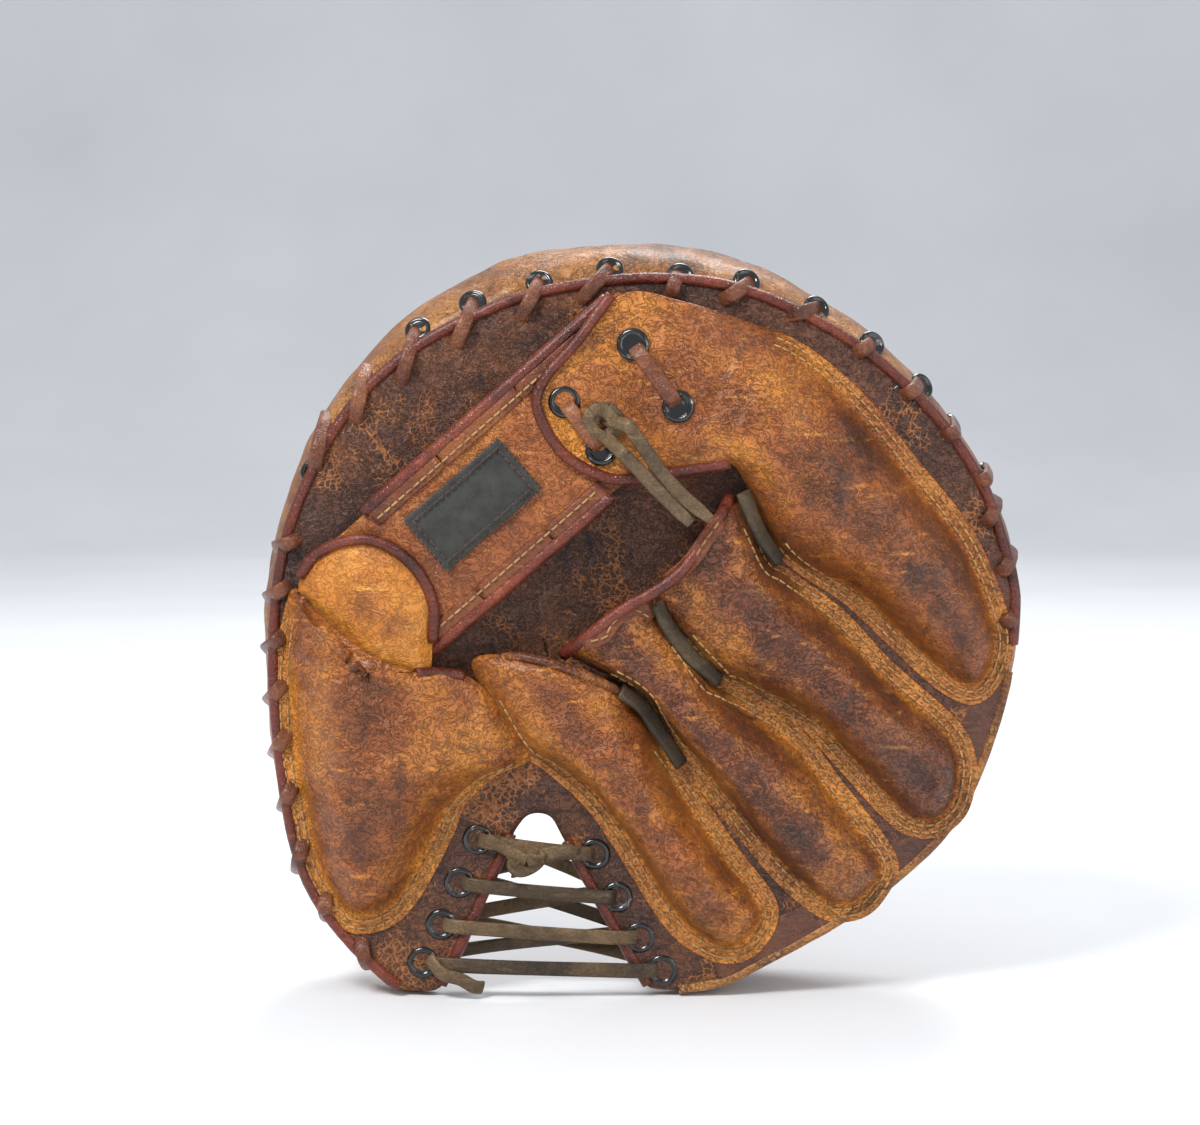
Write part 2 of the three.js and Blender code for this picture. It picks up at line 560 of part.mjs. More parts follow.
// The tab is the end of the little finger's leather. It laps over the strap's end, and a lace ties the two.
const TAB_END = { x: -17, y: 219, radius: 20 };
const tabPlan = new THREE.Shape()
  .moveTo(36, 206)
  .lineTo(46, 222)
  .quadraticCurveTo(34, 250, 14, 264)
  .lineTo(-7, 265)
  .lineTo(TAB_END.x - TAB_END.radius * Math.sin(1), TAB_END.y + TAB_END.radius * Math.cos(1))
  .absarc(TAB_END.x, TAB_END.y, TAB_END.radius, Math.PI / 2 + 1, 1.5 * Math.PI, false);
const stallMouths = Object.values(STALLS).map(({ mouth, tip, width }) =>
  placed(prism(fingerPlan(reach(mouth, tip), width + 1, 0.5), -5, 60), mouth, tip));
const tabHoles = TAB_EYELETS.map(([x, y]) => eyeletHole(x, y, 5, 40));
const tab = [...stallMouths, ...tabHoles].reduce(
  (left, hole) => left.subtract(hole), cutFromArch(tabPlan, STRAP_LEATHER + GAP, STRAP_LEATHER));
add('wrist_tab', tab, TAN);
TAB_EYELETS.forEach(([x, y], i) => {
  add('tab_eyelet_' + (i + 1), eyelet(), NICKEL).position.set(x, y, tabTop(x, y) + 0.5);
});
add('tab_lace', tube(tabLace, 1.5, 6, 30), RAWHIDE);

const edgeOf = (places, lift) => places.map(([x, y]) => new THREE.Vector3(x, y, archAt(x, y) + lift));
const tabEdge = Array.from({ length: 7 }, (_, i) => {
  const turn = Math.PI / 2 + 1 + (Math.PI - 1) * i / 6;
  const out = TAB_END.radius + 2.3 + GAP;
  return [TAB_END.x + out * Math.cos(turn), TAB_END.y + out * Math.sin(turn)];
});
const tabEdgePoints = edgeOf([[-11.5, 264], [-24, 246], ...tabEdge, [8, 199.2], [32, 202.2]], STRAP_LEATHER + 3.4);
add('tab_piping', tube(tabEdgePoints, 2.3, 8, 26), OXBLOOD);

// The lace's knot and its two loose ends, which lie over the strap's edge and hang into the hand opening.
const KNOT = new THREE.Vector3(-14.5, 217.5, tabTop(-14.5, 217.5) + 4.8);
add('tab_lace_knot', new THREE.SphereGeometry(5.4, 12, 8).scale(1.25, 1, 0.62)
  .translate(KNOT.x, KNOT.y, KNOT.z), RAWHIDE);
const looseEnd = (name, places) => {
  const points = places.map(([x, y, h]) => new THREE.Vector3(x, y, h));
  add(name, tube(points, 2.2, 6, 14), RAWHIDE);
};
looseEnd('lace_end_long', [[-7.5, 207, 33], [-2, 201.5, 33.5], [4, 195, 33], [10.5, 188.5, 32.5], [17.5, 181.5, 33.5]]);
looseEnd('lace_end_short', [[-5.5, 217, 31.5], [0, 209.5, 32.5], [6, 201, 33.5], [14, 192, 34], [24.5, 183, 34.5]]);

// The thumb's tab is a half-round patch with piping, sewn over the strap's other end.
const THUMB_TAB = { x: -103, y: 147, radius: 27.5 };
const THUMB_TAB_FROM = -0.52;
const THUMB_TAB_TO = 2.4;
const thumbTabPlan = new THREE.Shape()
  .absarc(THUMB_TAB.x, THUMB_TAB.y, THUMB_TAB.radius, THUMB_TAB_FROM, THUMB_TAB_TO, false);
add('thumb_tab', cutFromArch(thumbTabPlan, STRAP_LEATHER + GAP, STRAP_LEATHER), TAN);
const thumbTabEdge = Array.from({ length: 9 }, (_, i) => {
  const turn = THUMB_TAB_FROM + (THUMB_TAB_TO - THUMB_TAB_FROM) * i / 8;
  const out = THUMB_TAB.radius + 2.4 + GAP;
  return [THUMB_TAB.x + out * Math.cos(turn), THUMB_TAB.y + out * Math.sin(turn)];
});
add('thumb_tab_piping', tube(edgeOf(thumbTabEdge, STRAP_LEATHER + 3.4), 2.4, 8, 22), OXBLOOD);
mouthPiping('opening_piping_thumb', [[-78, 128.5, 14], [-70, 128, 14.5], [-62.5, 127.5, 14]]);

export default mitt;
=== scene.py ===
"""The looks of the catcher's mitt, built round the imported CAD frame.

Shapes are drawn in the mitt's own plane, in millimetres: x to the right, y up and h out of the back of the
hand, with h = 0 on the lining. to_row() turns that into the row frame, in metres.
"""
import math

import bpy
import numpy as np
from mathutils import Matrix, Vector, noise


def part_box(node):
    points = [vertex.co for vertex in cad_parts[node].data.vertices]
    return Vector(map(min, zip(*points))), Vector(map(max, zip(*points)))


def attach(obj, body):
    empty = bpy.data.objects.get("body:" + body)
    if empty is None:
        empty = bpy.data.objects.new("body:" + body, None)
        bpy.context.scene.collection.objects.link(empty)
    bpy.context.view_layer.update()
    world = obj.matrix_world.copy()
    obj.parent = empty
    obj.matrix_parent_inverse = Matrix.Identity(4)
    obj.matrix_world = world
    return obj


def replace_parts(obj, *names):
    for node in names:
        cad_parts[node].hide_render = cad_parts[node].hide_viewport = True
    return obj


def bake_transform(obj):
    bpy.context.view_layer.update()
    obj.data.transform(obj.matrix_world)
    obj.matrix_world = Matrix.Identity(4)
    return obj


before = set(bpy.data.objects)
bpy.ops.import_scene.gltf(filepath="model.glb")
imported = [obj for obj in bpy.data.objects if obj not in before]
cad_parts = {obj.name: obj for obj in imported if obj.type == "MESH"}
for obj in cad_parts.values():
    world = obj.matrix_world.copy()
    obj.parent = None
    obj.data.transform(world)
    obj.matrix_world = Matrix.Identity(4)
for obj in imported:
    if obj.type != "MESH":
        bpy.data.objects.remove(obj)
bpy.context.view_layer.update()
PLANE_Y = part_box("lining_fingers")[0].y          # where the lining's outer face lies
FINGERS, THUMB = "finger_side", "thumb_side"
MITT_MIDDLE_Y = 141


def to_row(points):
    p = np.asarray(points, float).reshape(-1, 3)
    return np.stack([p[:, 0] * 0.001, PLANE_Y - p[:, 2] * 0.001, p[:, 1] * 0.001], 1)


# ---- Camera, light and floor ----
LENS_MM, SENSOR_MM, VIEW_WIDTH = 85.0, 36.0, 0.456
ELEVATION = math.radians(5)
target = Vector((-0.0155, 0.0, 0.163))
distance = VIEW_WIDTH * LENS_MM / SENSOR_MM
camera = bpy.data.objects.new("camera", bpy.data.cameras.new("camera"))
camera.data.lens, camera.data.sensor_width = LENS_MM, SENSOR_MM
camera.location = target + distance * Vector((0, -math.cos(ELEVATION), math.sin(ELEVATION)))
camera.rotation_euler = (math.pi / 2 - ELEVATION, 0, 0)
bpy.context.scene.collection.objects.link(camera)
bpy.context.scene.camera = camera


def area_light(name, place, size, power, colour=(1, 1, 1)):
    light = bpy.data.lights.new(name, "AREA")
    light.shape, light.size, light.energy, light.color = "SQUARE", size, power, colour
    lamp = bpy.data.objects.new(name, light)
    lamp.location = place
    lamp.rotation_euler = (Vector((0, 0, 0.14)) - Vector(place)).to_track_quat("-Z", "Y").to_euler()
    bpy.context.scene.collection.objects.link(lamp)


area_light("key", (-0.55, -0.75, 1.05), 0.4, 15)
area_light("fill", (0.95, -0.8, 0.45), 0.9, 5)
area_light("back", (0.2, 1.0, 1.6), 0.8, 22)
world = bpy.data.worlds.new("studio")
bpy.context.scene.world = world
world.use_nodes = True
world.node_tree.nodes["Background"].inputs["Color"].default_value = (0.93, 0.95, 1, 1)
world.node_tree.nodes["Background"].inputs["Strength"].default_value = 0.6


# ---- Small mathematics ----
def smooth(x, low, high):
    t = np.clip((np.asarray(x, float) - low) / (high - low), 0, 1)
    return t * t * (3 - 2 * t)


def mix(a, b, t):
    return a + (b - a) * t


def spline(points, count, closed=False):
    """A Catmull-Rom curve through the points, as count points that are evenly spaced along it."""
    p = np.asarray(points, float)
    p = np.vstack([p[-1], p, p[0], p[1]]) if closed else np.vstack([2 * p[0] - p[1], p, 2 * p[-1] - p[-2]])
    fine = []
    for i in range(len(p) - 3):
        a, b, c, d = p[i:i + 4]
        t = np.linspace(0, 1, 24, endpoint=False)[:, None]
        square = (2 * a - 5 * b + 4 * c - d) * t**2
        cube = (3 * b - a - 3 * c + d) * t**3
        fine.append(0.5 * (2 * b + (c - a) * t + square + cube))
    fine = np.vstack(fine + [p[-2:-1]])
    run = np.concatenate([[0], np.cumsum(np.linalg.norm(np.diff(fine, axis=0), axis=1))])
    wanted = np.linspace(0, run[-1], count + 1)[:-1] if closed else np.linspace(0, run[-1], count)
    return np.stack([np.interp(wanted, run, fine[:, k]) for k in range(fine.shape[1])], 1)


def path_length(points):
    return float(np.linalg.norm(np.diff(np.asarray(points, float), axis=0), axis=1).sum())


def unit(v):
    v = np.asarray(v, float)
    return v / np.maximum(np.linalg.norm(v, axis=-1, keepdims=True), 1e-9)


def rough(points, scale, octaves=3, seed=0.0):
    """Fractal noise from about -1 to 1 at points in millimetres; scale is the size of its features."""
    out = np.empty(len(points))
    for i, p in enumerate(points):
        out[i] = noise.fractal(Vector(p) / scale + Vector((seed, seed * 1.7, -seed)), 1.0, 2.0, octaves)
    return out


def to_polyline(points, line):
    """The distance from each point to the nearest of a finely drawn line's points, in the mitt's plane."""
    best = np.full(len(points), 1e9)
    for start in range(0, len(line), 64):
        part = line[start:start + 64]
        gap = np.linalg.norm(points[:, None, :2] - part[None, :, :2], axis=2).min(1)
        best = np.minimum(best, gap)
    return best


# ---- Materials ----
def linear(rgb):
    return [((c / 255 + 0.055) / 1.055) ** 2.4 if c > 10 else c / 255 / 12.92 for c in rgb] + [1]


class Look:
    """One procedural material, and shorthand for building its nodes."""

    def __init__(self, name):
        self.material = bpy.data.materials.new(name)
        self.material.use_nodes = True
        self.tree = self.material.node_tree
        self.shader = self.tree.nodes["Principled BSDF"]
        self.where = self.node("ShaderNodeTexCoord").outputs["Object"]

    def node(self, kind, inputs=None, **settings):
        made = self.tree.nodes.new(kind)
        for key, value in settings.items():
            setattr(made, key, value)
        for key, value in (inputs or {}).items():
            self.set(made.inputs[key], value)
        return made

    def set(self, socket, value):
        if isinstance(value, bpy.types.NodeSocket):
            self.tree.links.new(value, socket)
        else:
            socket.default_value = value

    def noise(self, scale, detail=4.0, distortion=0.0, where=None, roughness=0.55):
        made = self.node("ShaderNodeTexNoise", {
            "Vector": where or self.where, "Scale": scale, "Detail": detail, "Distortion": distortion,
            "Roughness": roughness})
        return made.outputs["Fac"]

    def voronoi(self, scale, feature="F1", where=None):
        inputs = {"Vector": where or self.where, "Scale": scale}
        made = self.node("ShaderNodeTexVoronoi", inputs, feature=feature)
        return made.outputs["Distance"]

    def stretched(self, factors):
        return self.node("ShaderNodeMapping", {"Vector": self.where, "Scale": factors}).outputs["Vector"]

    def range(self, value, low, high, out_low=0.0, out_high=1.0):
        made = self.node("ShaderNodeMapRange", {
            "Value": value, "From Min": low, "From Max": high, "To Min": out_low, "To Max": out_high})
        return made.outputs["Result"]

    def math(self, operation, a, b=0.0):
        made = self.node("ShaderNodeMath", operation=operation)
        self.set(made.inputs[0], a)
        self.set(made.inputs[1], b)
        return made.outputs[0]

    def blend(self, factor, a, b, mode="MIX"):
        made = self.node("ShaderNodeMix", data_type="RGBA", blend_type=mode)
        self.set(made.inputs["Factor"], factor)
        self.set(made.inputs["A"], a)
        self.set(made.inputs["B"], b)
        return made.outputs["Result"]

    def ramp(self, value, *stops):
        made = self.node("ShaderNodeValToRGB", {"Fac": value})
        band = made.color_ramp
        while len(band.elements) < len(stops):
            band.elements.new(0.5)
        for element, (place, rgb) in zip(band.elements, stops):
            element.position, element.color = place, linear(rgb)
        return made.outputs["Color"]

    def painted(self, name):
        return self.node("ShaderNodeAttribute", attribute_name=name).outputs["Fac"]

    def bump(self, height, depth, below=None):
        made = self.node("ShaderNodeBump", {"Height": height, "Distance": depth, "Strength": 1.0})
        if below is not None:
            self.set(made.inputs["Normal"], below)
        return made.outputs["Normal"]

    def finish(self, colour, roughness, normal, **constants):
        self.set(self.shader.inputs["Base Color"], colour)
        self.set(self.shader.inputs["Roughness"], roughness)
        self.set(self.shader.inputs["Normal"], normal)
        for key, value in constants.items():
            self.shader.inputs[key.replace("_", " ")].default_value = value
        return self.material


def leather(name, dark, mid, light, crack=None, crack_share=0.0, wrinkle=0.5, gloss=0.42, stain=0.5):
    """Old waxed leather. The mesh attribute "shade" darkens it below 0 and brightens it above."""
    look = Look(name)
    cloud = look.noise(26, 6, 0.6)
    patch = look.noise(90, 5, 1.0)
    shade = look.painted("shade")
    tone = look.math("ADD", look.math("MULTIPLY", cloud, 0.9), look.math("MULTIPLY", patch, 0.45))
    tone = look.math("ADD", look.math("SUBTRACT", tone, 0.18), shade)
    colour = look.ramp(tone, (0.12, dark), (0.46, mid), (0.86, light))
    # Grime that sits in blotches, and rubbed streaks of bare tan.
    grime = look.range(look.noise(55, 6, 1.4), 0.56, 0.72, 0.0, stain)
    colour = look.blend(grime, colour, linear([c * 0.42 for c in dark]))
    streak = look.range(look.noise(70, 6, 0.3, look.stretched((1.0, 1.0, 5.0))), 0.60, 0.74, 0.0, 0.35)
    colour = look.blend(streak, colour, linear([min(255, c * 1.18 + 16) for c in light]))
    # Painted shade and grime darken the fine creases, which the bump below also sinks.
    crease_from = look.noise(240, 4, 1.8, look.stretched((1.0, 1.0, 1.35)))
    crease = look.range(look.math("ABSOLUTE", look.math("SUBTRACT", crease_from, 0.5)), 0.0, 0.05)
    colour = look.blend(look.math("MULTIPLY", look.math("SUBTRACT", 1.0, crease), 0.42 * wrinkle),
                        colour, linear([c * 0.35 for c in dark]))
    pores = look.voronoi(1500)
    height = look.math("MULTIPLY", crease, 0.55 * wrinkle)
    height = look.math("ADD", height, look.math("MULTIPLY", pores, 0.35))
    if crack:
        stray = look.node("ShaderNodeTexNoise", {"Vector": look.where, "Scale": 150, "Detail": 3})
        stray = look.node("ShaderNodeVectorMath", {0: stray.outputs["Color"], 1: (0.006, 0.006, 0.006)},
                          operation="MULTIPLY")
        bent = look.node("ShaderNodeVectorMath", {0: look.where, 1: stray.outputs[0]}, operation="ADD")
        edge = look.voronoi(420, "DISTANCE_TO_EDGE", bent.outputs[0])
        whole, broken = 0.60 - 0.25 * crack_share, 0.74 - 0.2 * crack_share
        wide = look.range(look.noise(32, 5, 0.8), whole, broken, 0.0, 0.16)
        open_crack = look.math("LESS_THAN", edge, wide)
        soft_crack = look.range(look.math("SUBTRACT", edge, wide), -0.03, 0.03, 1.0, 0.0)
        colour = look.blend(look.math("MULTIPLY", soft_crack, 0.85), colour, linear(crack))
        height = look.math("SUBTRACT", height, look.math("MULTIPLY", open_crack, 0.5))
    folds = look.noise(48, 5, 1.6)
    normal = look.bump(folds, 0.0036 * wrinkle)
    normal = look.bump(height, 0.0006, normal)
    roughness = look.range(look.noise(120, 5), 0.3, 0.7, gloss - 0.09, gloss + 0.16)
    return look.finish(colour, roughness, normal,
                       Specular_IOR_Level=0.42, Coat_Weight=0.22, Coat_Roughness=0.3)


def metal(name):
    look = Look(name)
    worn = look.range(look.noise(260, 4, 0.5), 0.60, 0.68)
    colour = look.blend(worn, linear((12, 12, 14)), linear((140, 138, 134)))
    look.set(look.shader.inputs["Metallic"], look.range(worn, 0, 1, 0.15, 1.0))
    normal = look.bump(look.noise(900, 3), 0.0001)
    roughness = look.range(worn, 0, 1, 0.16, 0.26)
    return look.finish(colour, roughness, normal, Coat_Weight=0.7, Coat_Roughness=0.08)


def cloth(name, dark, light, thread_scale=1400.0, sheen=0.5):
    look = Look(name)
    weave = look.math("MULTIPLY", look.noise(thread_scale, 2, 0.0, look.stretched((1, 1, 4))),
                      look.noise(thread_scale, 2, 0.0, look.stretched((4, 1, 1))))
    tone = look.math("ADD", look.noise(160, 5), look.math("MULTIPLY", weave, 0.6))
    colour = look.ramp(tone, (0.4, dark), (0.9, light))
    normal = look.bump(weave, 0.0006)
    roughness = look.range(weave, 0, 1, 0.8, 0.98)
    return look.finish(colour, roughness, normal, Sheen_Weight=sheen, Sheen_Roughness=0.5)


TAN = leather(
    "tan_leather", (70, 34, 14), (146, 78, 26), (208, 132, 44),
    wrinkle=1.0, gloss=0.36, stain=0.6)
GOLD = leather(
    "golden_leather", (122, 66, 22), (186, 112, 32), (222, 150, 54),
    wrinkle=0.6, stain=0.35)
WORN = leather(
    "worn_leather", (50, 24, 13), (118, 60, 24), (204, 128, 44),
    wrinkle=1.2, gloss=0.36, stain=0.75)
SHELL = leather(
    "shell_leather", (80, 46, 22), (146, 90, 38), (196, 136, 66),
    crack=(84, 54, 28), crack_share=0.3, wrinkle=0.8, gloss=0.46)
STRAP = leather(
    "strap_leather", (82, 40, 16), (146, 78, 30), (190, 118, 48),
    wrinkle=0.8, gloss=0.38)
LINING = leather(
    "lining_leather", (34, 19, 13), (76, 42, 27), (120, 70, 38),
    crack=(158, 96, 44), crack_share=0.3, wrinkle=0.9, gloss=0.48, stain=0.8)
BROWN = leather(
    "brown_leather", (46, 26, 18), (84, 48, 32), (122, 74, 46),
    wrinkle=0.4, gloss=0.5)
PIPING = leather(
    "piping_leather", (54, 18, 10), (98, 36, 18), (134, 60, 32),
    wrinkle=0.4, gloss=0.26, stain=0.45)
FLANGE = leather(
    "flange_leather", (66, 28, 12), (112, 54, 24), (150, 84, 38),
    wrinkle=0.4, gloss=0.4, stain=0.4)
LACE = leather(
    "lace_leather", (54, 27, 15), (108, 56, 30), (154, 94, 56),
    wrinkle=0.5, gloss=0.34)
RAWHIDE = leather(
    "lace_suede", (42, 33, 22), (88, 68, 44), (132, 106, 72),
    wrinkle=0.5, gloss=0.7, stain=0.5)
BINDING = leather(
    "suede_binding", (28, 24, 17), (60, 48, 32), (96, 78, 52),
    wrinkle=0.4, gloss=0.75, stain=0.5)
THREAD = cloth("thread", (150, 104, 46), (222, 178, 104), 3000.0, 0.2)
DARK_THREAD = cloth("dark_thread", (46, 22, 20), (96, 50, 42), 3000.0, 0.2)
FELT = cloth("label_felt", (22, 23, 20), (60, 62, 54), 1500.0, 0.3)
ENAMEL = metal("eyelet_enamel")


# ---- Meshes ----
def make(name, points, faces, look, shade=None):
    """A smooth mesh from points in the mitt's plane."""
    mesh = bpy.data.meshes.new(name)
    mesh.from_pydata(to_row(points).tolist(), [], [tuple(f) for f in faces])
    mesh.validate()
    mesh.materials.append(look)
    mesh.polygons.foreach_set("use_smooth", [True] * len(mesh.polygons))
    if shade is not None:
        layer = mesh.attributes.new("shade", "FLOAT", "POINT")
        layer.data.foreach_set("value", np.asarray(shade, np.float32))
    obj = bpy.data.objects.new(name, mesh)
    bpy.context.scene.collection.objects.link(obj)
    return obj


def modify(obj, kind, **settings):
    """Adds a modifier and applies it."""
    modifier = obj.modifiers.new(kind.lower(), kind)
    for key, value in settings.items():
        setattr(modifier, key, value)
    bpy.context.view_layer.update()
    evaluated = obj.evaluated_get(bpy.context.evaluated_depsgraph_get())
    mesh = bpy.data.meshes.new_from_object(evaluated)
    obj.modifiers.clear()
    old, obj.data = obj.data, mesh
    bpy.data.meshes.remove(old)
    obj.data.polygons.foreach_set("use_smooth", [True] * len(obj.data.polygons))
    return obj


def grid_faces(rows, columns, closed=False):
    faces = []
    for r in range(rows - 1):
        for c in range(columns if closed else columns - 1):
            n = (c + 1) % columns
            faces.append((r * columns + c, (r + 1) * columns + c, (r + 1) * columns + n, r * columns + n))
    return faces


class Parts:
    """Collects points and faces of many small solids, to make one mesh of them."""

    def __init__(self):
        self.points, self.faces, self.shade, self.count = [], [], [], 0

    def add(self, points, faces, shade=0.0):
        self.points.append(np.asarray(points, float))
        self.faces += [tuple(i + self.count for i in f) for f in faces]
        self.shade.append(np.full(len(points), shade))
        self.count += len(points)

    def make(self, name, look):
        return make(name, np.vstack(self.points), self.faces, look, np.concatenate(self.shade))


def swept(path, width, thick, across=None, sides=12, taper=None, twist=None, square=2.0):
    """A cord with a rounded section along a path.

    across is the direction of its width, fixed or one per point, and square makes the section flatter-sided.
    """
    path = np.asarray(path, float)
    n = len(path)
    tangent = unit(np.gradient(path, axis=0))
    if across is None:
        across = np.empty((n, 3))
        ref = np.cross(tangent[0], (0.0, 0.0, 1.0))
        across[0] = unit(ref if np.linalg.norm(ref) > 0.1 else np.cross(tangent[0], (0.0, 1.0, 0.0)))
        for i in range(1, n):
            across[i] = unit(across[i - 1] - tangent[i] * np.dot(across[i - 1], tangent[i]))
    else:
        across = np.broadcast_to(np.asarray(across, float), (n, 3))
        across = unit(across - tangent * (across * tangent).sum(1, keepdims=True))
    up = np.cross(across, tangent)
    if twist is not None:
        turn = np.asarray(twist)[:, None]
        across, up = across * np.cos(turn) + up * np.sin(turn), up * np.cos(turn) - across * np.sin(turn)
    size = np.ones(n) if taper is None else np.asarray(taper)
    angles = np.linspace(0, 2 * np.pi, sides, endpoint=False)
    a = np.sign(np.cos(angles)) * np.abs(np.cos(angles)) ** (2 / square) * width / 2
    b = np.sign(np.sin(angles)) * np.abs(np.sin(angles)) ** (2 / square) * thick / 2
    section = a[None, :, None] * across[:, None] + b[None, :, None] * up[:, None]
    rings = path[:, None] + size[:, None, None] * section
    faces = grid_faces(n, sides, True)
    points = np.vstack([rings.reshape(-1, 3), path[:1], path[-1:]])
    for c in range(sides):
        nxt = (c + 1) % sides
        faces.append((len(points) - 2, c, nxt))
        faces.append((len(points) - 1, (n - 1) * sides + nxt, (n - 1) * sides + c))
    return points, faces


def outward(obj):
    """Turns the mesh's faces to point out."""
    import bmesh
    bm = bmesh.new()
    bm.from_mesh(obj.data)
    bmesh.ops.recalc_face_normals(bm, faces=bm.faces)
    bm.to_mesh(obj.data)
    bm.free()
    return obj


def fold(obj):
    """Bakes the piece's transform into its mesh, for a piece that crosses the fold."""
    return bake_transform(obj)


def hang(obj, body, slot, *nodes):
    """Says what the piece moves with and the nodes that it stands for. slot is not used."""
    if body == "fold":
        fold(obj)
    else:
        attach(obj, body)
    if nodes:
        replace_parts(obj, *nodes)
    return obj


def give(obj, body, slot, *nodes):
    return hang(outward(obj), body, slot, *nodes)


def stitches(parts, path, pitch=3.6, length=2.7, thick=0.75, lift=0.15, normal=(0, 0, 1)):
    """A row of thread stitches along a path that lies on a surface."""
    count = max(2, int(path_length(path) / pitch))
    line = spline(path, count * 2 + 1)
    for i in range(count):
        a, b = line[2 * i], line[2 * i + 1]
        middle, along = (a + b) / 2, unit(b - a) * length / 2
        rise = np.asarray(normal, float)
        arc = [middle - along - rise * 0.25, middle - along * 0.5 + rise * lift,
               middle + along * 0.5 + rise * lift, middle + along - rise * 0.25]
        points, faces = swept(spline(arc, 5), thick, thick, across=np.cross(along, rise), sides=6)
        parts.add(points, faces)


def eyelet(parts, centre, normal=(0, 0, 1), outer=6.0, inner=3.7, height=1.7):
    """A rolled metal eyelet with its barrel."""
    normal = unit(normal)
    side = unit(np.cross(normal, (0.3, 1.0, 0.1)))
    other = np.cross(normal, side)
    profile = [(outer, -0.3), (outer, 0.35 * height), (outer * 0.94, 0.75 * height),
               ((outer + inner) / 2, height), (inner + 0.25, 0.8 * height), (inner, 0.4 * height),
               (inner, -2.6), (inner + 0.5, -2.6)]
    sides, lip = 36, 5
    turns = np.linspace(0, 2 * np.pi, sides, endpoint=False)
    circle = np.cos(turns)[:, None] * side + np.sin(turns)[:, None] * other
    rows = [np.asarray(centre) + radius * circle + normal * up for radius, up in profile]
    faces = grid_faces(len(profile), sides, True)
    # A black disc, painted shade for the dark inside of the hole, closes it from the barrel's lip to a point in
    # its middle.
    rows.append([np.asarray(centre) + normal * 0.1])
    faces += [(lip * sides + c, lip * sides + (c + 1) % sides, sides * len(profile)) for c in range(sides)]
    parts.add(np.vstack(rows), faces)


# ---- The mitt's outline ----
HUB = np.array([-38.0, 140.0])
RIM = [(4.5, 1), (16.7, 0), (32, 0.8), (45, 7), (78, 25.8), (101, 43.7), (118, 61), (129, 80.6),
       (140.2, 114.8), (144.3, 145.2), (142.1, 165), (130.7, 198.4), (107.9, 230.7), (77.5, 257.3),
       (39.5, 277.4), (-2.3, 284.6), (-44.1, 280), (-74.5, 267), (-101, 246), (-121, 220), (-134.5, 191),
       (-142, 162), (-144.3, 130), (-142.1, 95.8), (-136, 58), (-127, 34), (-111.7, 14), (-98, 2.5), (-88, 0),
       (-78.5, 0)]
WEB_LEFT = [(-78.5, 0), (-50, 61)]
WEB_TOP = [(-50, 61), (-45, 67.5), (-38.5, 69), (-32, 67), (-28, 60)]
WEB_RIGHT = [(-28, 60), (4.5, 1)]
rim_line = spline(RIM, 236)
web_line = np.vstack([spline(WEB_LEFT, 22)[1:], spline(WEB_TOP, 9)[1:], spline(WEB_RIGHT, 22)[1:-1]])
outline = np.vstack([rim_line, web_line])
fine_rim = spline(RIM, 1200)
fine_web = np.vstack([spline(WEB_LEFT, 90), spline(WEB_TOP, 40), spline(WEB_RIGHT, 90)])
from_web = to_polyline(outline, fine_web)
JOINT_BY_ANGLE = [(-90, 5), (-20, 4), (10, 5), (30, 6), (50, 8), (75, 12), (95, 16), (115, 16.5), (140, 10),
                  (165, 7), (200, 6), (235, 6), (270, 5)]   # degrees about the mitt's middle, and inset


def joint_inset(points):
    """How far in from the silhouette the laced joint lies."""
    turn = np.degrees(np.arctan2(points[:, 1] - MITT_MIDDLE_Y, points[:, 0])) % 360
    turn = np.where(turn > 270, turn - 360, turn)
    angles, values = zip(*JOINT_BY_ANGLE)
    return np.interp(turn, angles, values)


def inward(points, distance):
    reach = HUB - points[:, :2]
    return points[:, :2] + unit(reach) * np.asarray(distance)[:, None]


def front_depth(x, y):
    """Depth of the palm's face below the lining: a padded ring round the pocket, thin beside the web gap."""
    p = np.stack([x, y], 1)
    d = to_polyline(p, fine_rim)
    w = to_polyline(p, fine_web)
    ring = 25 + 37 * np.sqrt(1 - (1 - np.clip(d / 34, 0, 1)) ** 2.2)
    pocket = 27 + 38 * smooth(np.hypot(x + 6, y - 134), 0, 104)
    k = 7.0
    h = np.clip(0.5 + 0.5 * (pocket - ring) / k, 0, 1)
    depth = mix(pocket, ring, h) - k * h * (1 - h)
    return mix(6.5, depth, smooth(w, 1, 44))


def rim_point(turn, distance, h):
    """A point beside the joint, at an angle in degrees about the mitt's middle and a distance in from it."""
    turns = np.degrees(np.arctan2(fine_rim[:, 1] - MITT_MIDDLE_Y, fine_rim[:, 0]))
    i = int(np.argmin(np.abs((turns - turn + 180) % 360 - 180)))
    corner = fine_rim[i:i + 1]
    place = inward(corner, joint_inset(corner) + distance)[0]
    return np.array([place[0], place[1], h])


# ---- Free lace ends, which hang from the knot on the wrist tab ----
LONG_END = [(-7.5, 207, 33), (-2, 201.5, 33.5), (4, 195, 33), (10.5, 188.5, 32.5), (17.5, 181.5, 33.5)]
SHORT_END = [(-5.5, 217, 31.5), (0, 209.5, 32.5), (6, 201, 33.5), (14, 192, 34), (24.5, 183, 34.5)]
for node, route, seed in (("lace_end_long", LONG_END, 1.0), ("lace_end_short", SHORT_END, 2.0)):
    line = spline(route, 40)
    run = np.linspace(0, 1, 40)
    points, faces = swept(line, 5.2, 2.6, across=(0.72, 0.69, 0.0), sides=14, square=3.5,
                          twist=0.35 * np.sin(run * 5 + seed), taper=1 - 0.25 * smooth(run, 0.85, 1))
    end = give(make(node + "_leather", points, faces, RAWHIDE, 0.12 * rough(points, 9, seed=seed)), FINGERS,
               "rawhide_lace", node)


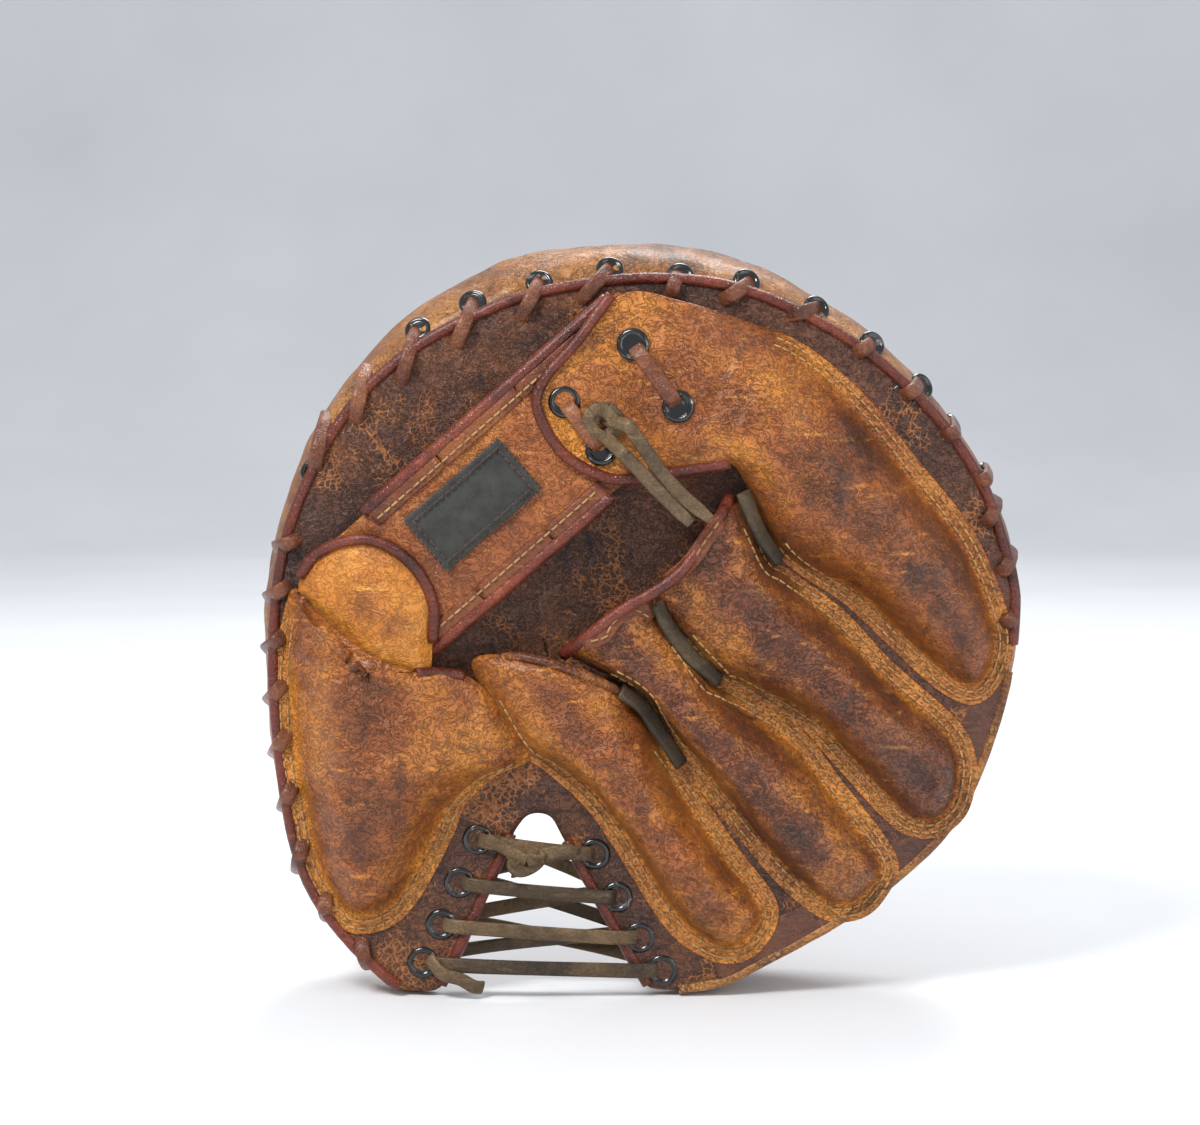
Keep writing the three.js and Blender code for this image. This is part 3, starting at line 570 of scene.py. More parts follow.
# ---- Palm shell: the padded ring and pocket, wrapped over the rim to the laced joint ----
LACE_PITCH = 27
fade = smooth(from_web, 1, 30)
joint = mix(2.0, joint_inset(outline), fade)
edge_depth = front_depth(outline[:, 0], outline[:, 1])
columns = len(outline)
reach = np.linalg.norm(outline - HUB, axis=1)
run_along = np.concatenate([[0], np.cumsum(np.linalg.norm(np.diff(outline, axis=0), axis=1))])
rows = []
# Painted shade, row by row: the wrapped edge is lighter on the back and darkens as it turns to the front, and the
# pocket darkens towards its middle.
row_painted_shade = []
WRAP_ROWS = 15
for turn in np.radians(np.linspace(0, 90, WRAP_ROWS)):
    place = inward(outline, joint * (1 - math.sin(turn)))
    pucker = 0.9 * math.sin(2 * turn) * np.maximum(0, np.cos(run_along * 2 * np.pi / LACE_PITCH)) ** 4 * fade
    rows.append(np.column_stack([place, -edge_depth * (1 - math.cos(turn)) - pucker]))
    row_painted_shade.append(np.full(columns, 0.16 - 0.2 * math.sin(turn)))
for inset in (0.5, 1.3, 2.6, 4.5, 7, 10, 14, 19, 25, 32, 40, 49):
    place = inward(outline, np.minimum(inset, reach * inset / 66))
    rows.append(np.column_stack([place, -front_depth(place[:, 0], place[:, 1])]))
    row_painted_shade.append(np.full(columns, -0.04))
last = rows[-1][:, :2]
for share in (0.84, 0.68, 0.52, 0.37, 0.23, 0.11, 0.03):
    place = HUB + (last - HUB) * share
    rows.append(np.column_stack([place, -front_depth(place[:, 0], place[:, 1])]))
    row_painted_shade.append(np.full(columns, -0.12))
points = np.vstack(rows)
row_count = len(rows)
faces = grid_faces(row_count, columns, True)
points = np.vstack([points, [[*HUB, points[-columns:, 2].mean()], [*HUB, -3.0]]])
inner = inward(outline, joint + 3)
points = np.vstack([points, np.column_stack([inner, np.full(columns, -3.0)])])
under = row_count * columns + 2
for c in range(columns):
    n = (c + 1) % columns
    faces.append(((row_count - 1) * columns + c, under - 2, (row_count - 1) * columns + n))
    faces.append((c, n, under + n, under + c))
    faces.append((under + c, under + n, under - 1))
shade = np.concatenate(row_painted_shade + [np.zeros(2 + columns)]) + 0.10 * rough(points, 30, seed=3)
wave = rough(points, 26, 4, seed=5) * 1.3 + rough(points, 7, 3, seed=6) * 0.35
wave[:columns] *= 0.2
wave[under - 2:] = 0
away = np.vstack(rows)
core = np.column_stack([inward(outline, joint + 14), -np.minimum(edge_depth, 30)])
centre = np.tile(core, (row_count, 1))
points[:row_count * columns] += unit(away - centre) * (wave[:row_count * columns, None] - 0.6)
wrap_points = points[:WRAP_ROWS * columns].copy()
wrap_normals = unit(away - centre)[:WRAP_ROWS * columns]
shell = make("palm_shell", points, faces, SHELL, shade)
shell = modify(shell, "SUBSURF", levels=1, render_levels=1)
give(shell, "fold", "shell_leather", "palm_shell_fingers", "palm_shell_thumb", "palm_pad_fingers",
     "palm_pad_thumb")


# ---- Lining: the dark cracked leather behind the fingers ----
inner_line = inward(outline, joint + 0.6)
rows = []
for share in (1, 0.985, 0.96, 0.92, 0.86, 0.78, 0.69, 0.59, 0.48, 0.37, 0.26, 0.15, 0.05):
    place = HUB + (inner_line - HUB) * share
    rows.append(np.column_stack([place, np.zeros(columns)]))
points = np.vstack(rows + [[[*HUB, 0]]])
faces = grid_faces(len(rows), columns, True)
faces += [((len(rows) - 1) * columns + c, len(points) - 1, (len(rows) - 1) * columns + (c + 1) % columns)
          for c in range(columns)]
points[:, 2] = 0.1 + 0.7 * rough(points, 22, 4, seed=9)
points[:columns, 2] = -0.8
lining = make("lining_back", points, faces, LINING, 0.2 * rough(points, 30, seed=4))
modify(lining, "SUBSURF", levels=1, render_levels=1)
modify(lining, "SOLIDIFY", thickness=0.0024, offset=-1)
give(lining, "fold", "lining_leather", "lining_fingers", "lining_thumb")


# ---- Stalls: domed sheets with a stitched margin, open at the mouth ----
FLOOR = 3.0                                      # the sewn margin's top, over the lining


class Stall:
    """A sheet that rises from a closed boundary to a spine. Boundary and spine points are (x, y, height)."""

    def __init__(self, name, boundary, spine, look, slot, body, nodes, puff=2.6, margin=7.0, seed=0.0,
                 wrinkle=1.0, shade=None, count=220):
        edge = spline([p if len(p) == 3 else (*p, FLOOR) for p in boundary], count, closed=True)
        ridge = spline(spine, 44)
        foot = np.empty(count, int)
        for i, p in enumerate(edge):
            foot[i] = int(np.argmin(np.linalg.norm(ridge[:, :2] - p[:2], axis=1)))
        # Averaging the feet keeps columns from jumping along the spine, and both sides end on its points.
        foot = np.convolve(np.concatenate([foot[-4:], foot, foot[:4]]), np.ones(9) / 9, "valid")
        top = ridge[np.rint(foot).astype(int)]
        span = np.linalg.norm(top[:, :2] - edge[:, :2], axis=1)
        sewn = 1 - smooth(edge[:, 2], FLOOR + 0.5, FLOOR + 5)
        mouth = edge[edge[:, 2] > FLOOR + 2.5]
        margin = margin * mix(0.15, 1.0, smooth(to_polyline(edge, mouth), 4, 46))
        rows, tones = [], []
        for t in np.concatenate([[0], np.linspace(0.03, 1, 26)]):
            start = np.minimum(0.45, margin / span) * sewn
            u = np.clip((t - start) / (1 - start), 0, 1)
            rise = (1 - (1 - u) ** puff) ** 0.95
            height = mix(edge[:, 2], top[:, 2], rise)
            rows.append(np.column_stack([mix(edge[:, :2], top[:, :2], t), height]))
            # The margin is lighter and the roof darker towards the spine, and a dark band of painted shade and
            # grime lies in the dip where the dome rises off the margin.
            tones.append(0.26 * sewn * (1 - smooth(u, 0.0, 0.2))
                         - 0.10 * sewn * np.exp(-((u - 0.08) / 0.07) ** 2)
                         + 0.06 * smooth(u, 0.2, 0.4) - 0.20 * smooth(u, 0.45, 1))
        self.points, self.edge = np.vstack(rows), edge
        middle = ridge[len(ridge) // 2]
        along = unit(ridge[-1, :2] - ridge[0, :2])
        local = np.column_stack([(self.points[:, :2] - middle[:2]) @ along,
                                 (self.points[:, :2] - middle[:2]) @ np.array([-along[1], along[0]]) * 0.35,
                                 self.points[:, 2] * 0.5])
        lift = np.concatenate([np.full(count, smooth(t, 0.05, 0.4)) for t in np.linspace(0, 1, len(rows))])
        creases = np.abs(rough(local, 15, 3, seed)) ** 0.6 - 0.5
        self.points[:, 2] += wrinkle * lift * (2.2 * creases + 1.6 * rough(self.points, 24, 3, seed + 3))
        self.points[:, 2] = np.maximum(self.points[:, 2], FLOOR) + 0.2 * rough(self.points, 6, 2, seed + 7)
        faces = grid_faces(len(rows), count, True)
        tone = np.concatenate(tones) + 0.12 * rough(self.points, 26, 3, seed + 5)
        if shade is not None:
            tone = tone + shade(self.points)
        obj = make(name, self.points, faces, look, tone)
        modify(obj, "WELD", merge_threshold=0.00002)
        modify(obj, "SUBSURF", levels=1, render_levels=1)
        outside = obj.data.polygons[len(obj.data.polygons) // 2].normal.y < 0
        modify(obj, "SOLIDIFY", thickness=0.0022, offset=-1 if outside else 1)
        hang(obj, body, slot, *nodes)

    def on(self, path, lift=0.0):
        """The path laid on the sheet."""
        path = np.asarray(path, float)
        out = np.empty((len(path), 3))
        for i, p in enumerate(path):
            gap = np.linalg.norm(self.points[:, :2] - p[:2], axis=1)
            near = np.argpartition(gap, 4)[:4]
            weight = 1 / (gap[near] + 0.3) ** 2
            out[i] = [p[0], p[1], (self.points[near, 2] * weight).sum() / weight.sum() + lift]
        return out

    def edge_path(self, low, high, inset, lift=0.25):
        """A line on the sheet beside part of its boundary, from one share of its length to another."""
        count = len(self.edge)
        grid = self.points.reshape(-1, count, 3)
        line = []
        for i in range(int(low * count), int(high * count)):
            column = grid[:, i % count]
            run = np.concatenate([[0], np.cumsum(np.linalg.norm(np.diff(column[:, :2], axis=0), axis=1))])
            line.append([np.interp(inset, run, column[:, k]) for k in range(3)])
        return np.array(line) + np.array([0, 0, lift])


def arch(x, y):
    """Height of the wrist strap over the lining."""
    along = (x + 105.5) * 0.753 + (y - 145) * 0.658
    return 1.75 + 14 * max(0.0, math.sin(math.pi * min(1, max(0, along / 191.8)))) ** 0.8


def on_tab(x, y, extra=5.5):
    return (x, y, arch(x, y) + extra)


little = Stall(
    "little_stall_and_tab",
    [(38, 195, 12), (51, 167), (76, 149), (95, 131), (112, 116), (124, 111), (133, 117), (139, 131),
     (137, 146), (124, 176), (102, 204), (82, 228), (60, 246, 3.4), (40, 254, 8), on_tab(14, 262),
     on_tab(-7, 264.5), on_tab(-24, 246), on_tab(-36, 232), on_tab(-37.6, 222), on_tab(-28.5, 207),
     on_tab(-13.7, 198.5), on_tab(-3, 197.5), on_tab(10, 199.5), (30, 203, 20)],
    [(-14, 224, 20), (10, 222, 22), (34, 216, 25), (72, 188, 26), (104, 155, 24), (120, 136, 16)],
    TAN, "tan_leather", FINGERS, ("stall_little", "wrist_tab"), seed=11,
    shade=lambda p: 0.22 * smooth(-p[:, 0], -20, 30) - 0.14 * smooth(p[:, 0], 40, 90))
ring = Stall(
    "ring_stall",
    [(5, 150, 12), (28, 121), (33, 118.6), (59.8, 102), (66, 95.8), (88.9, 70.4), (100.3, 61.6),
     (111.7, 61), (122, 69), (126, 83), (125, 94), (118, 106), (94, 127.4), (76, 146.4), (56, 161.6),
     (48.4, 167), (37, 188, 12), (27, 181, 21), (15, 164, 25)],
    [(20, 170, 25), (50, 138, 25), (85, 103, 24), (106, 84, 15)],
    WORN, "tan_leather", FINGERS, ("stall_ring",),
    seed=23, puff=3.0)
middle = Stall(
    "middle_stall",
    [(-28, 132, 12), (-2.3, 116), (7.9, 98.3), (24.3, 75.5), (30.7, 68), (50.9, 43.8), (66, 31),
     (76.3, 28.4), (87, 32), (95, 42.6), (97, 51), (92, 61), (75, 83), (59.8, 102), (33, 118.6),
     (26, 123), (5.3, 150, 12), (-7, 151, 24), (-20, 140, 23)],
    [(-12, 138, 24), (15, 110, 25), (50, 72, 24), (74, 48, 15)],
    WORN, "tan_leather", FINGERS, ("stall_middle",),
    seed=37, puff=3.0)
index = Stall(
    "index_stall",
    [(-63, 129, 10), (-56, 110, 6), (-46, 93, 3.6), (-36, 86), (-17.5, 67.9), (7.9, 28), (21.8, 16),
     (33, 12.5), (43.6, 16), (51.5, 28), (50, 39), (38, 55), (24, 75.5), (8.5, 98.3), (0, 112),
     (-8, 118, 12), (-24, 126, 20), (-44, 131, 16)],
    [(-33, 118, 22), (-12, 85, 24), (20, 45, 23), (31, 32, 15)],
    TAN, "tan_leather", FINGERS, ("stall_index",),
    seed=51, puff=2.8)
thumb = Stall(
    "thumb_stall",
    [(-131, 154, 5), (-137, 128), (-137, 95), (-133, 73), (-127, 46), (-114, 27), (-103, 24), (-91, 29),
     (-82, 40), (-71, 61), (-66, 73), (-55, 84), (-42, 91, 4), (-50, 108, 9), (-64, 123, 13),
     (-80, 125, 22), (-97, 131, 24), (-112, 141, 20), (-125, 151, 12)],
    [(-101, 124, 25.5), (-102, 90, 27), (-104, 58, 20)],
    TAN, "tan_leather", "fold", ("stall_thumb",), seed=63, puff=2.2, wrinkle=1.2)


# ---- Wrist strap ----
STRAP_FROM, ALONG, SIDE = np.array([-105.5, 145.0]), np.array([0.753, 0.658]), np.array([-0.658, 0.753])


def strap_point(along, across, extra=0.0):
    place = STRAP_FROM + ALONG * along + SIDE * across
    return (place[0], place[1], arch(*place) + extra)


rows = []
for across in np.linspace(-27, 27, 25):
    crown = 1.4 * (1 - (across / 27) ** 2)
    rows.append([strap_point(a, across, 2.4 + crown) for a in np.linspace(-4, 152, 70)])
points = np.vstack(rows)
points[:, 2] += 0.7 * rough(points, 26, 3, 71) + 0.2 * rough(points, 6, 2, 72)
strap = make("wrist_strap_leather", points, grid_faces(25, 70), STRAP,
             0.15 * rough(points, 30, 3, 73) + 0.12 * smooth(points[:, 0], -70, -100))
modify(strap, "SUBSURF", levels=1, render_levels=1)
modify(strap, "SOLIDIFY", thickness=0.0024, offset=0)
give(strap, "fold", "tan_leather", "wrist_strap")


# ---- Piping and bindings ----
def piping(name, path, radius, slot, body, nodes, look=PIPING, seed=0.0):
    """A round roll of leather along a path."""
    line = spline(path, max(12, int(path_length(path) / 2.2)))
    points, faces = swept(line, 2 * radius, 2 * radius, sides=14)
    bump = 1 + 0.06 * rough(points, 5, 2, seed)
    centre = np.repeat(line, 14, axis=0)
    points[:len(centre)] = centre + (points[:len(centre)] - centre) * bump[:len(centre), None]
    return give(make(name, points, faces, look, 0.25 * rough(points, 16, 3, seed)), body, slot, *nodes)


def flange(name, path, width, thick, look, slot, body, seed=0.0):
    """A flat leather strip along a path."""
    line = spline(path, max(12, int(path_length(path) / 2.5)))
    tangent = unit(np.gradient(line, axis=0))
    wide = np.cross(tangent, (0, 0, 1))
    points, faces = swept(line, width, thick, across=wide, sides=14, square=4)
    points[:, 2] += 0.12 * rough(points, 6, 2, seed)
    return give(make(name, points, faces, look, 0.1 * rough(points, 14, 3, seed)), body, slot)


def flange_row(name, spots, body, seed):
    """Butt-jointed lengths of stitched flange beside a piping, each a list of points."""
    for number, path in enumerate(spots):
        flange(f"{name}_{number + 1}", path, 6.0, 1.5, FLANGE, "piping_leather", body, seed + number)


def beside_strap(across, pieces):
    return [[strap_point(a, across, 4.6) for a in np.linspace(low, high, 12)] for low, high in pieces]


flange_row("strap_flange_top", beside_strap(23.2, ((29, 62), (62.8, 100), (100.8, 130))), "fold", 121)
flange_row("strap_flange_low", beside_strap(-23.2, ((9, 40), (40.8, 74), (74.8, 101))), "fold", 131)
rim_back = np.column_stack([inward(outline, joint), np.full(columns, 1.8)])
angle = (np.degrees(np.arctan2(outline[:, 1] - MITT_MIDDLE_Y, outline[:, 0])) + 90) % 360
WELT_ENDS = 87                                   # degrees round from the mitt's base
RIM_START = int(np.argmin(np.abs(angle[:len(rim_line)] - WELT_ENDS)))
piping("rim_piping", rim_back[RIM_START:len(rim_line) - 4], 2.2, "piping_leather", "fold",
       ("rim_piping_fingers", "rim_piping_thumb"), seed=81)
frayed = rim_back[3:RIM_START - 2].copy()
frayed[:, 2] = 1.5
piping("toe_welt_leather", frayed, 1.9, "tan_leather", FINGERS, ("toe_welt",), look=SHELL, seed=83)
WEB_LIFT = 1.9
LEFT_ROUTE = [(-75.5, 4.5), (-68, 20), (-60, 38), (-50.5, 58.5), (-49, 62)]
RIGHT_ROUTE = [(2.5, 4.5), (-6, 19), (-18, 41), (-28, 59.5)]
piping("web_piping_left", [(*p, WEB_LIFT) for p in LEFT_ROUTE], 2.2, "piping_leather", THUMB,
       ("web_piping_thumb",), seed=85)
piping("web_piping_right", [(*p, WEB_LIFT) for p in RIGHT_ROUTE], 2.2, "piping_leather", FINGERS,
       ("web_piping_fingers",), seed=86)
STRAP_EDGE, STRAP_PIPING_LIFT = 27.65, 3.4
upper = [strap_point(a, STRAP_EDGE, STRAP_PIPING_LIFT) for a in np.linspace(28, 147, 30)]
lower = [strap_point(a, -STRAP_EDGE, STRAP_PIPING_LIFT) for a in np.linspace(8, 101, 26)]
piping("strap_piping_top", upper, 2.5, "piping_leather", "fold", ("strap_piping_upper",), seed=87)
piping("strap_piping_low", lower, 2.5, "piping_leather", "fold", ("strap_piping_lower",), seed=88)
FINGER_MOUTH = [(32.5, 189.5, 14), (27, 181, 22.5), (15, 164.5, 26), (5, 156.5, 26.5), (-7, 149.5, 25.5),
                (-20, 139.5, 24), (-29, 131.5, 14)]
piping("mouth_piping_fingers", FINGER_MOUTH, 2.3, "piping_leather", FINGERS,
       ("opening_piping_fingers",), seed=89)
piping("mouth_piping_thumb", [(-83, 125.5, 22.5), (-75, 125, 17), (-66, 123.5, 14)], 2.2, "piping_leather",
       "fold", ("opening_piping_thumb",), seed=90)
tab_edge = [on_tab(x, y, 6.4) for x, y in ((-11.5, 264), (-24, 247), (-36, 233), (-38.2, 222), (-29, 206.5),
                                           (-14, 197.8), (-3, 197), (10, 199), (32, 202.5))]
piping("tab_edge_piping", tab_edge, 2.1, "piping_leather", FINGERS, ("tab_piping",), seed=91)
for node, path in (("slit_binding_little_ring", [(37, 192, 17), (41, 182, 17), (45, 174, 14), (51, 166, 9)]),
                   ("slit_binding_ring_middle", [(5.3, 151, 19), (10, 142, 18), (18, 131, 14), (29, 121, 8)]),
                   ("slit_binding_middle_index", [(-8, 118, 15), (0, 112, 12), (6, 103, 9), (15, 89, 6.5)])):
    line = spline(path, 26)
    points, faces = swept(line, 6.2, 2.6, across=(0.62, 0.5, -0.6), sides=14, square=3)
    points += 0.25 * rough(points, 6, 2, 93)[:, None]
    strip = make(node + "_suede", points, faces, BINDING, 0.2 * rough(points, 12, 3, 94))
    give(strip, FINGERS, "suede_binding", node)
piping("index_mouth_binding", [(-60, 128, 9), (-45, 131, 17), (-24, 126, 21), (-9, 118, 14)], 1.8,
       "tan_leather", FINGERS, (), look=WORN, seed=97)
base = np.column_stack([inward(outline[8:70], joint[8:70] + 6.5), np.full(62, 1.7)])
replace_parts(flange("finger_base_strip", base, 13, 2.2, BROWN, "shell_leather", FINGERS, 99), "finger_seam_base")
base = np.column_stack([inward(outline[200:232], joint[200:232] + 5.5), np.full(32, 1.0)])
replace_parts(flange("thumb_base_strip", base, 8, 2.0, BROWN, "shell_leather", THUMB, 98), "thumb_seam_base")
for stall, name, low, high in ((ring, "ring", 0.865, 0.985), (middle, "middle", 0.855, 0.985)):
    beside_mouth = stall.edge_path(low, high, 4.4, 1.0)
    flange(f"{name}_mouth_flange", beside_mouth, 6.0, 1.5, FLANGE, "piping_leather", FINGERS, 141)


# ---- Rim lace: flat stitches over the joint ----
LACE_PAIRS = [((-117.8, 218.9), (-122, 198)), ((-102.6, 236.7), (-106.8, 215.8)),
              ((-84, 250.4), (-89.7, 230.3)), ((-62.3, 261.4), (-69.5, 243.6)),
              ((-38, 268.7), (-45.2, 254.2)), ((-12.2, 273.6), (-23.6, 261)), ((13.3, 272), (9.9, 261.4)),
              ((40.3, 268.7), (28.9, 261.4)), ((65.4, 259.2), (54, 256.5)), ((85.5, 246.2), (79, 242.4)),
              ((104.1, 231.4), (97.3, 226.5)), ((120.1, 215.8), (112.5, 211.3)),
              ((131.9, 198), (125, 194.6))]
lace_parts = Parts()


def on_wrap(place):
    """The point of the shell's wrapped edge under a place in the mitt's plane, and the way out of it there."""
    nearest = int(np.argmin(np.linalg.norm(wrap_points[:, :2] - np.asarray(place)[:2], axis=1)))
    return wrap_points[nearest], wrap_normals[nearest]


def over_joint(outer, inner, seed):
    """One stitch of flat lace over the piping, down into an eyelet on each side."""
    outer, inner = np.array(outer, float), np.array(inner, float)
    low = on_wrap(outer)[0][2]
    over = [(-0.02, -1.5), (0.1, 2.2), (0.45, 5.4), (0.8, mix(3.4, low + 3.4, 0.5)), (1.05, low - 1.5)]
    path = [(*mix(inner, outer, share), height) for share, height in over]
    tangent = unit(outer - inner)
    sideways = (-tangent[1], tangent[0], 0)
    points, faces = swept(spline(path, 22), 5.6, 2.5, across=sideways, sides=14, square=2.8)
    points += 0.15 * rough(points, 5, 2, seed)[:, None]
    lace_parts.add(points, faces, 0.1 * math.sin(seed * 2.1))


for number, (outer, inner) in enumerate(LACE_PAIRS):
    over_joint(outer, inner, number)
for number, turn in enumerate(list(range(19, 0, -8)) + list(range(168, 236, 8))):
    a, b = rim_point(turn, -3.6, 0), rim_point(turn - 3, 5, 0)
    over_joint(a[:2], b[:2], number)
lace = lace_parts.make("rim_lace_strips", LACE)
give(lace, "fold", "rawhide_lace", "rim_lace_fingers", "rim_lace_thumb")
parts = Parts()
for number, (outer, inner) in enumerate(LACE_PAIRS):
    if number > 1:
        eyelet(parts, *on_wrap(outer), 5.2, 3.2, 1.4)
    eyelet(parts, (*inner, 0.9), (0, 0, 1), 5.2, 3.2, 1.4)
give(parts.make("rim_eyelets_metal", ENAMEL), "fold", "eyelet_metal")


# ---- Web: enamelled eyelets and suede lacing across the gap ----
THUMB_HOLES = [(-61.5, 60), (-68.5, 43.5), (-75.5, 27.5), (-82.5, 13)]
FINGER_HOLES = [(-17.5, 54.5), (-9, 38), (-0.5, 22.5), (8, 10)]
for holes, side, body in ((THUMB_HOLES, "thumb", THUMB), (FINGER_HOLES, "fingers", FINGERS)):
    for number, hole in enumerate(holes, 1):
        parts = Parts()
        eyelet(parts, (*hole, 1.6))
        give(parts.make(f"web_eyelet_{side}_{number}_metal", ENAMEL), body, "eyelet_metal",
             f"web_eyelet_{side}_{number}")
web_parts = Parts()


def web_strand(a, b, height, seed):
    """A strand of flat lace from one hole to another, behind or in front of the leather."""
    a, b = np.array(a, float), np.array(b, float)
    end = 0.0 if height > 0 else -2.0
    lean = 0.7 * math.sin(seed * 3.3)
    path = [(*a, end - 1.5), (*mix(a, b, 0.06), height * 0.72), (*mix(a, b, 0.3), height + lean),
            (*mix(a, b, 0.7), height - lean), (*mix(a, b, 0.94), height * 0.72), (*b, end - 1.5)]
    tangent = unit(b - a)
    turn = 0.5 * np.sin(np.linspace(0, math.pi, 34)) * math.sin(seed * 1.9)
    sideways = (-tangent[1], tangent[0], 0)
    points, faces = swept(spline(path, 34), 5.6, 1.9, across=sideways, sides=12, square=4, twist=turn)
    web_parts.add(points, faces, 0.15 * math.sin(seed * 2.7))


for i in range(4):
    web_strand(THUMB_HOLES[i], FINGER_HOLES[i], 6.0, i + 1)
for i in range(3):
    web_strand(THUMB_HOLES[i + 1], FINGER_HOLES[i], -12.0, i + 7)
    web_strand(THUMB_HOLES[i], FINGER_HOLES[i + 1], -15.0, i + 12)
for turn in (0.4, 1.7):
    angles = np.linspace(0, 2 * math.pi, 36)
    loop = np.stack([-43 + 5.0 * np.cos(angles), 53 + 3.6 * np.sin(angles + turn),
                     8.5 + 2.0 * np.sin(angles * 2 + turn)], 1)
    points, faces = swept(loop, 5.2, 2.0, sides=12, square=3)
    web_parts.add(points, faces)
for route, seed in (([(-80, 15, 4), (-75, 10, 8), (-68, 8, 9), (-63, 5, 8), (-60, 4, 5)], 1),
                    ([(-43, 53, 9), (-37, 55, 8), (-30, 57, 9), (-24, 56, 6)], 2),
                    ([(-43, 53, 9), (-50, 57, 8), (-58, 61, 6)], 3)):
    points, faces = swept(spline(route, 24), 5.2, 2.0, across=(0.2, 1, 0.1 * seed), sides=12, square=3)
    web_parts.add(points, faces, 0.1)
web = web_parts.make("web_lace_strips", RAWHIDE)
outward(web)
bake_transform(web)
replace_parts(web, "web_lace")


# ---- Wrist tab: eyelets, lace strap and knot ----
TAB_HOLES = [(-28.5, 225), (-3.5, 246), (13, 223.5), (-15, 207.5)]
for number, hole in enumerate(TAB_HOLES, 1):
    top = little.on([hole])[0]
    lean = little.on([(hole[0] + x, hole[1] + y) for x, y in ((5, 0), (-5, 0), (0, 5), (0, -5))])
    normal = np.cross(lean[0] - lean[1], lean[2] - lean[3])
    parts = Parts()
    eyelet(parts, top + unit(normal) * 0.2, normal)
    give(parts.make(f"tab_eyelet_{number}_metal", ENAMEL), FINGERS, "eyelet_metal", f"tab_eyelet_{number}")
parts = Parts()
for number, (a, b) in enumerate(((TAB_HOLES[1], TAB_HOLES[2]), (TAB_HOLES[0], TAB_HOLES[3]))):
    a, b = np.array(a), np.array(b)
    flat = little.on([mix(a, b, t) for t in (0, 0.15, 0.5, 0.85, 1)], 2.4)
    flat[0, 2] -= 5
    flat[-1, 2] -= 5
    tangent = unit(b - a)
    points, faces = swept(spline(flat, 30), 5.8, 2.0, across=(-tangent[1], tangent[0], 0), sides=14, square=4)
    parts.add(points, faces, 0.1 * number)
give(parts.make("tab_lace_strip", LACE), FINGERS, "rawhide_lace", "tab_lace")
KNOT = little.on([(-14.5, 217.5)], 4.6)[0]
parts = Parts()
for number, turn in enumerate((0.2, 1.25, 2.3)):
    angles = np.linspace(0, 2 * math.pi, 40)
    rise = 2.2 * np.sin(angles + turn) + 0.9 * number
    ring_points = np.stack([5.8 * np.cos(angles), 4.0 * np.sin(angles), rise], 1)
    spin = np.array([[math.cos(turn), -math.sin(turn), 0], [math.sin(turn), math.cos(turn), 0], [0, 0, 1]])
    points, faces = swept(KNOT + ring_points @ spin.T, 4.8, 2.1, sides=12, square=3)
    parts.add(points, faces, 0.08 * number)
for end, start in ((LONG_END, (-15, 214)), (SHORT_END, (-14, 219))):
    exit_point, onward = np.array(end[0], float), unit(np.array(end[1], float) - np.array(end[0], float))
    halfway = mix(np.array(start), exit_point[:2], 0.5)
    strand = [(*start, KNOT[2] - 2.0), (*halfway, KNOT[2] + 4.0), exit_point, exit_point + onward * 1.2]
    points, faces = swept(spline(strand, 22), 5.1, 2.5, across=(0.72, 0.69, 0.0), sides=12, square=3)
    parts.add(points, faces, 0.1)
give(parts.make("tab_knot", RAWHIDE), FINGERS, "rawhide_lace", "tab_lace_knot")


# ---- Thumb tab: a half-round flap over the strap's end ----
def on_strap(x, y, extra):
    return (x, y, arch(x, y) + 3.8 + extra)


TAB_ARC = [(-127, 160), (-121, 168), (-111, 173), (-100, 174), (-89, 169), (-81, 160), (-77, 149),
           (-77.5, 136)]
tab_rim = [on_strap(x, y, 1.4) for x, y in TAB_ARC]
TUCKED_EDGE = [(-79, 123, 18), (-88, 126, 18.5), (-98, 130, 19), (-112, 140, 15), (-126, 151, 8)]
Stall("thumb_tab_leather", tab_rim + TUCKED_EDGE, [(-108, 152, 16.5), (-94, 144, 21)],
      GOLD, "tan_leather", "fold", ("thumb_tab",), seed=102, puff=1.6, wrinkle=0.6)
piping("thumb_tab_edge", [(x, y, h + 0.9) for x, y, h in tab_rim], 2.2, "piping_leather", "fold",
       ("thumb_tab_piping",), seed=103)


# ---- Label patch: felt with a pinked edge, no words ----
PATCH_ALONG, PATCH_ACROSS, PATCH_LONG, PATCH_WIDE = 60.5, 3.5, 46.0, 24.0
rows = []
for v in np.linspace(-1, 1, 21):
    line = []
    for u in np.linspace(-1, 1, 93):
        tooth = 0.55 * (1 if int(round((u + 1) * 46)) % 2 else -1) * (abs(v) > 0.99)
        tooth_u = 0.55 * (1 if int(round((v + 1) * 10)) % 2 else -1) * (abs(u) > 0.99)
        a, c = PATCH_ALONG + u * PATCH_LONG / 2 + tooth_u, PATCH_ACROSS + v * (PATCH_WIDE / 2 + tooth)
        line.append(strap_point(a, c, 2.4 + 1.4 * (1 - (c / 27) ** 2) + 2.3))
    rows.append(line)
points = np.vstack(rows)
points[:, 2] += 0.15 * rough(points, 8, 2, 111)
patch = make("label_felt_patch", points, grid_faces(21, 93), FELT)
modify(patch, "SOLIDIFY", thickness=0.0014, offset=0)
give(patch, "fold", "label_felt", "label_patch")


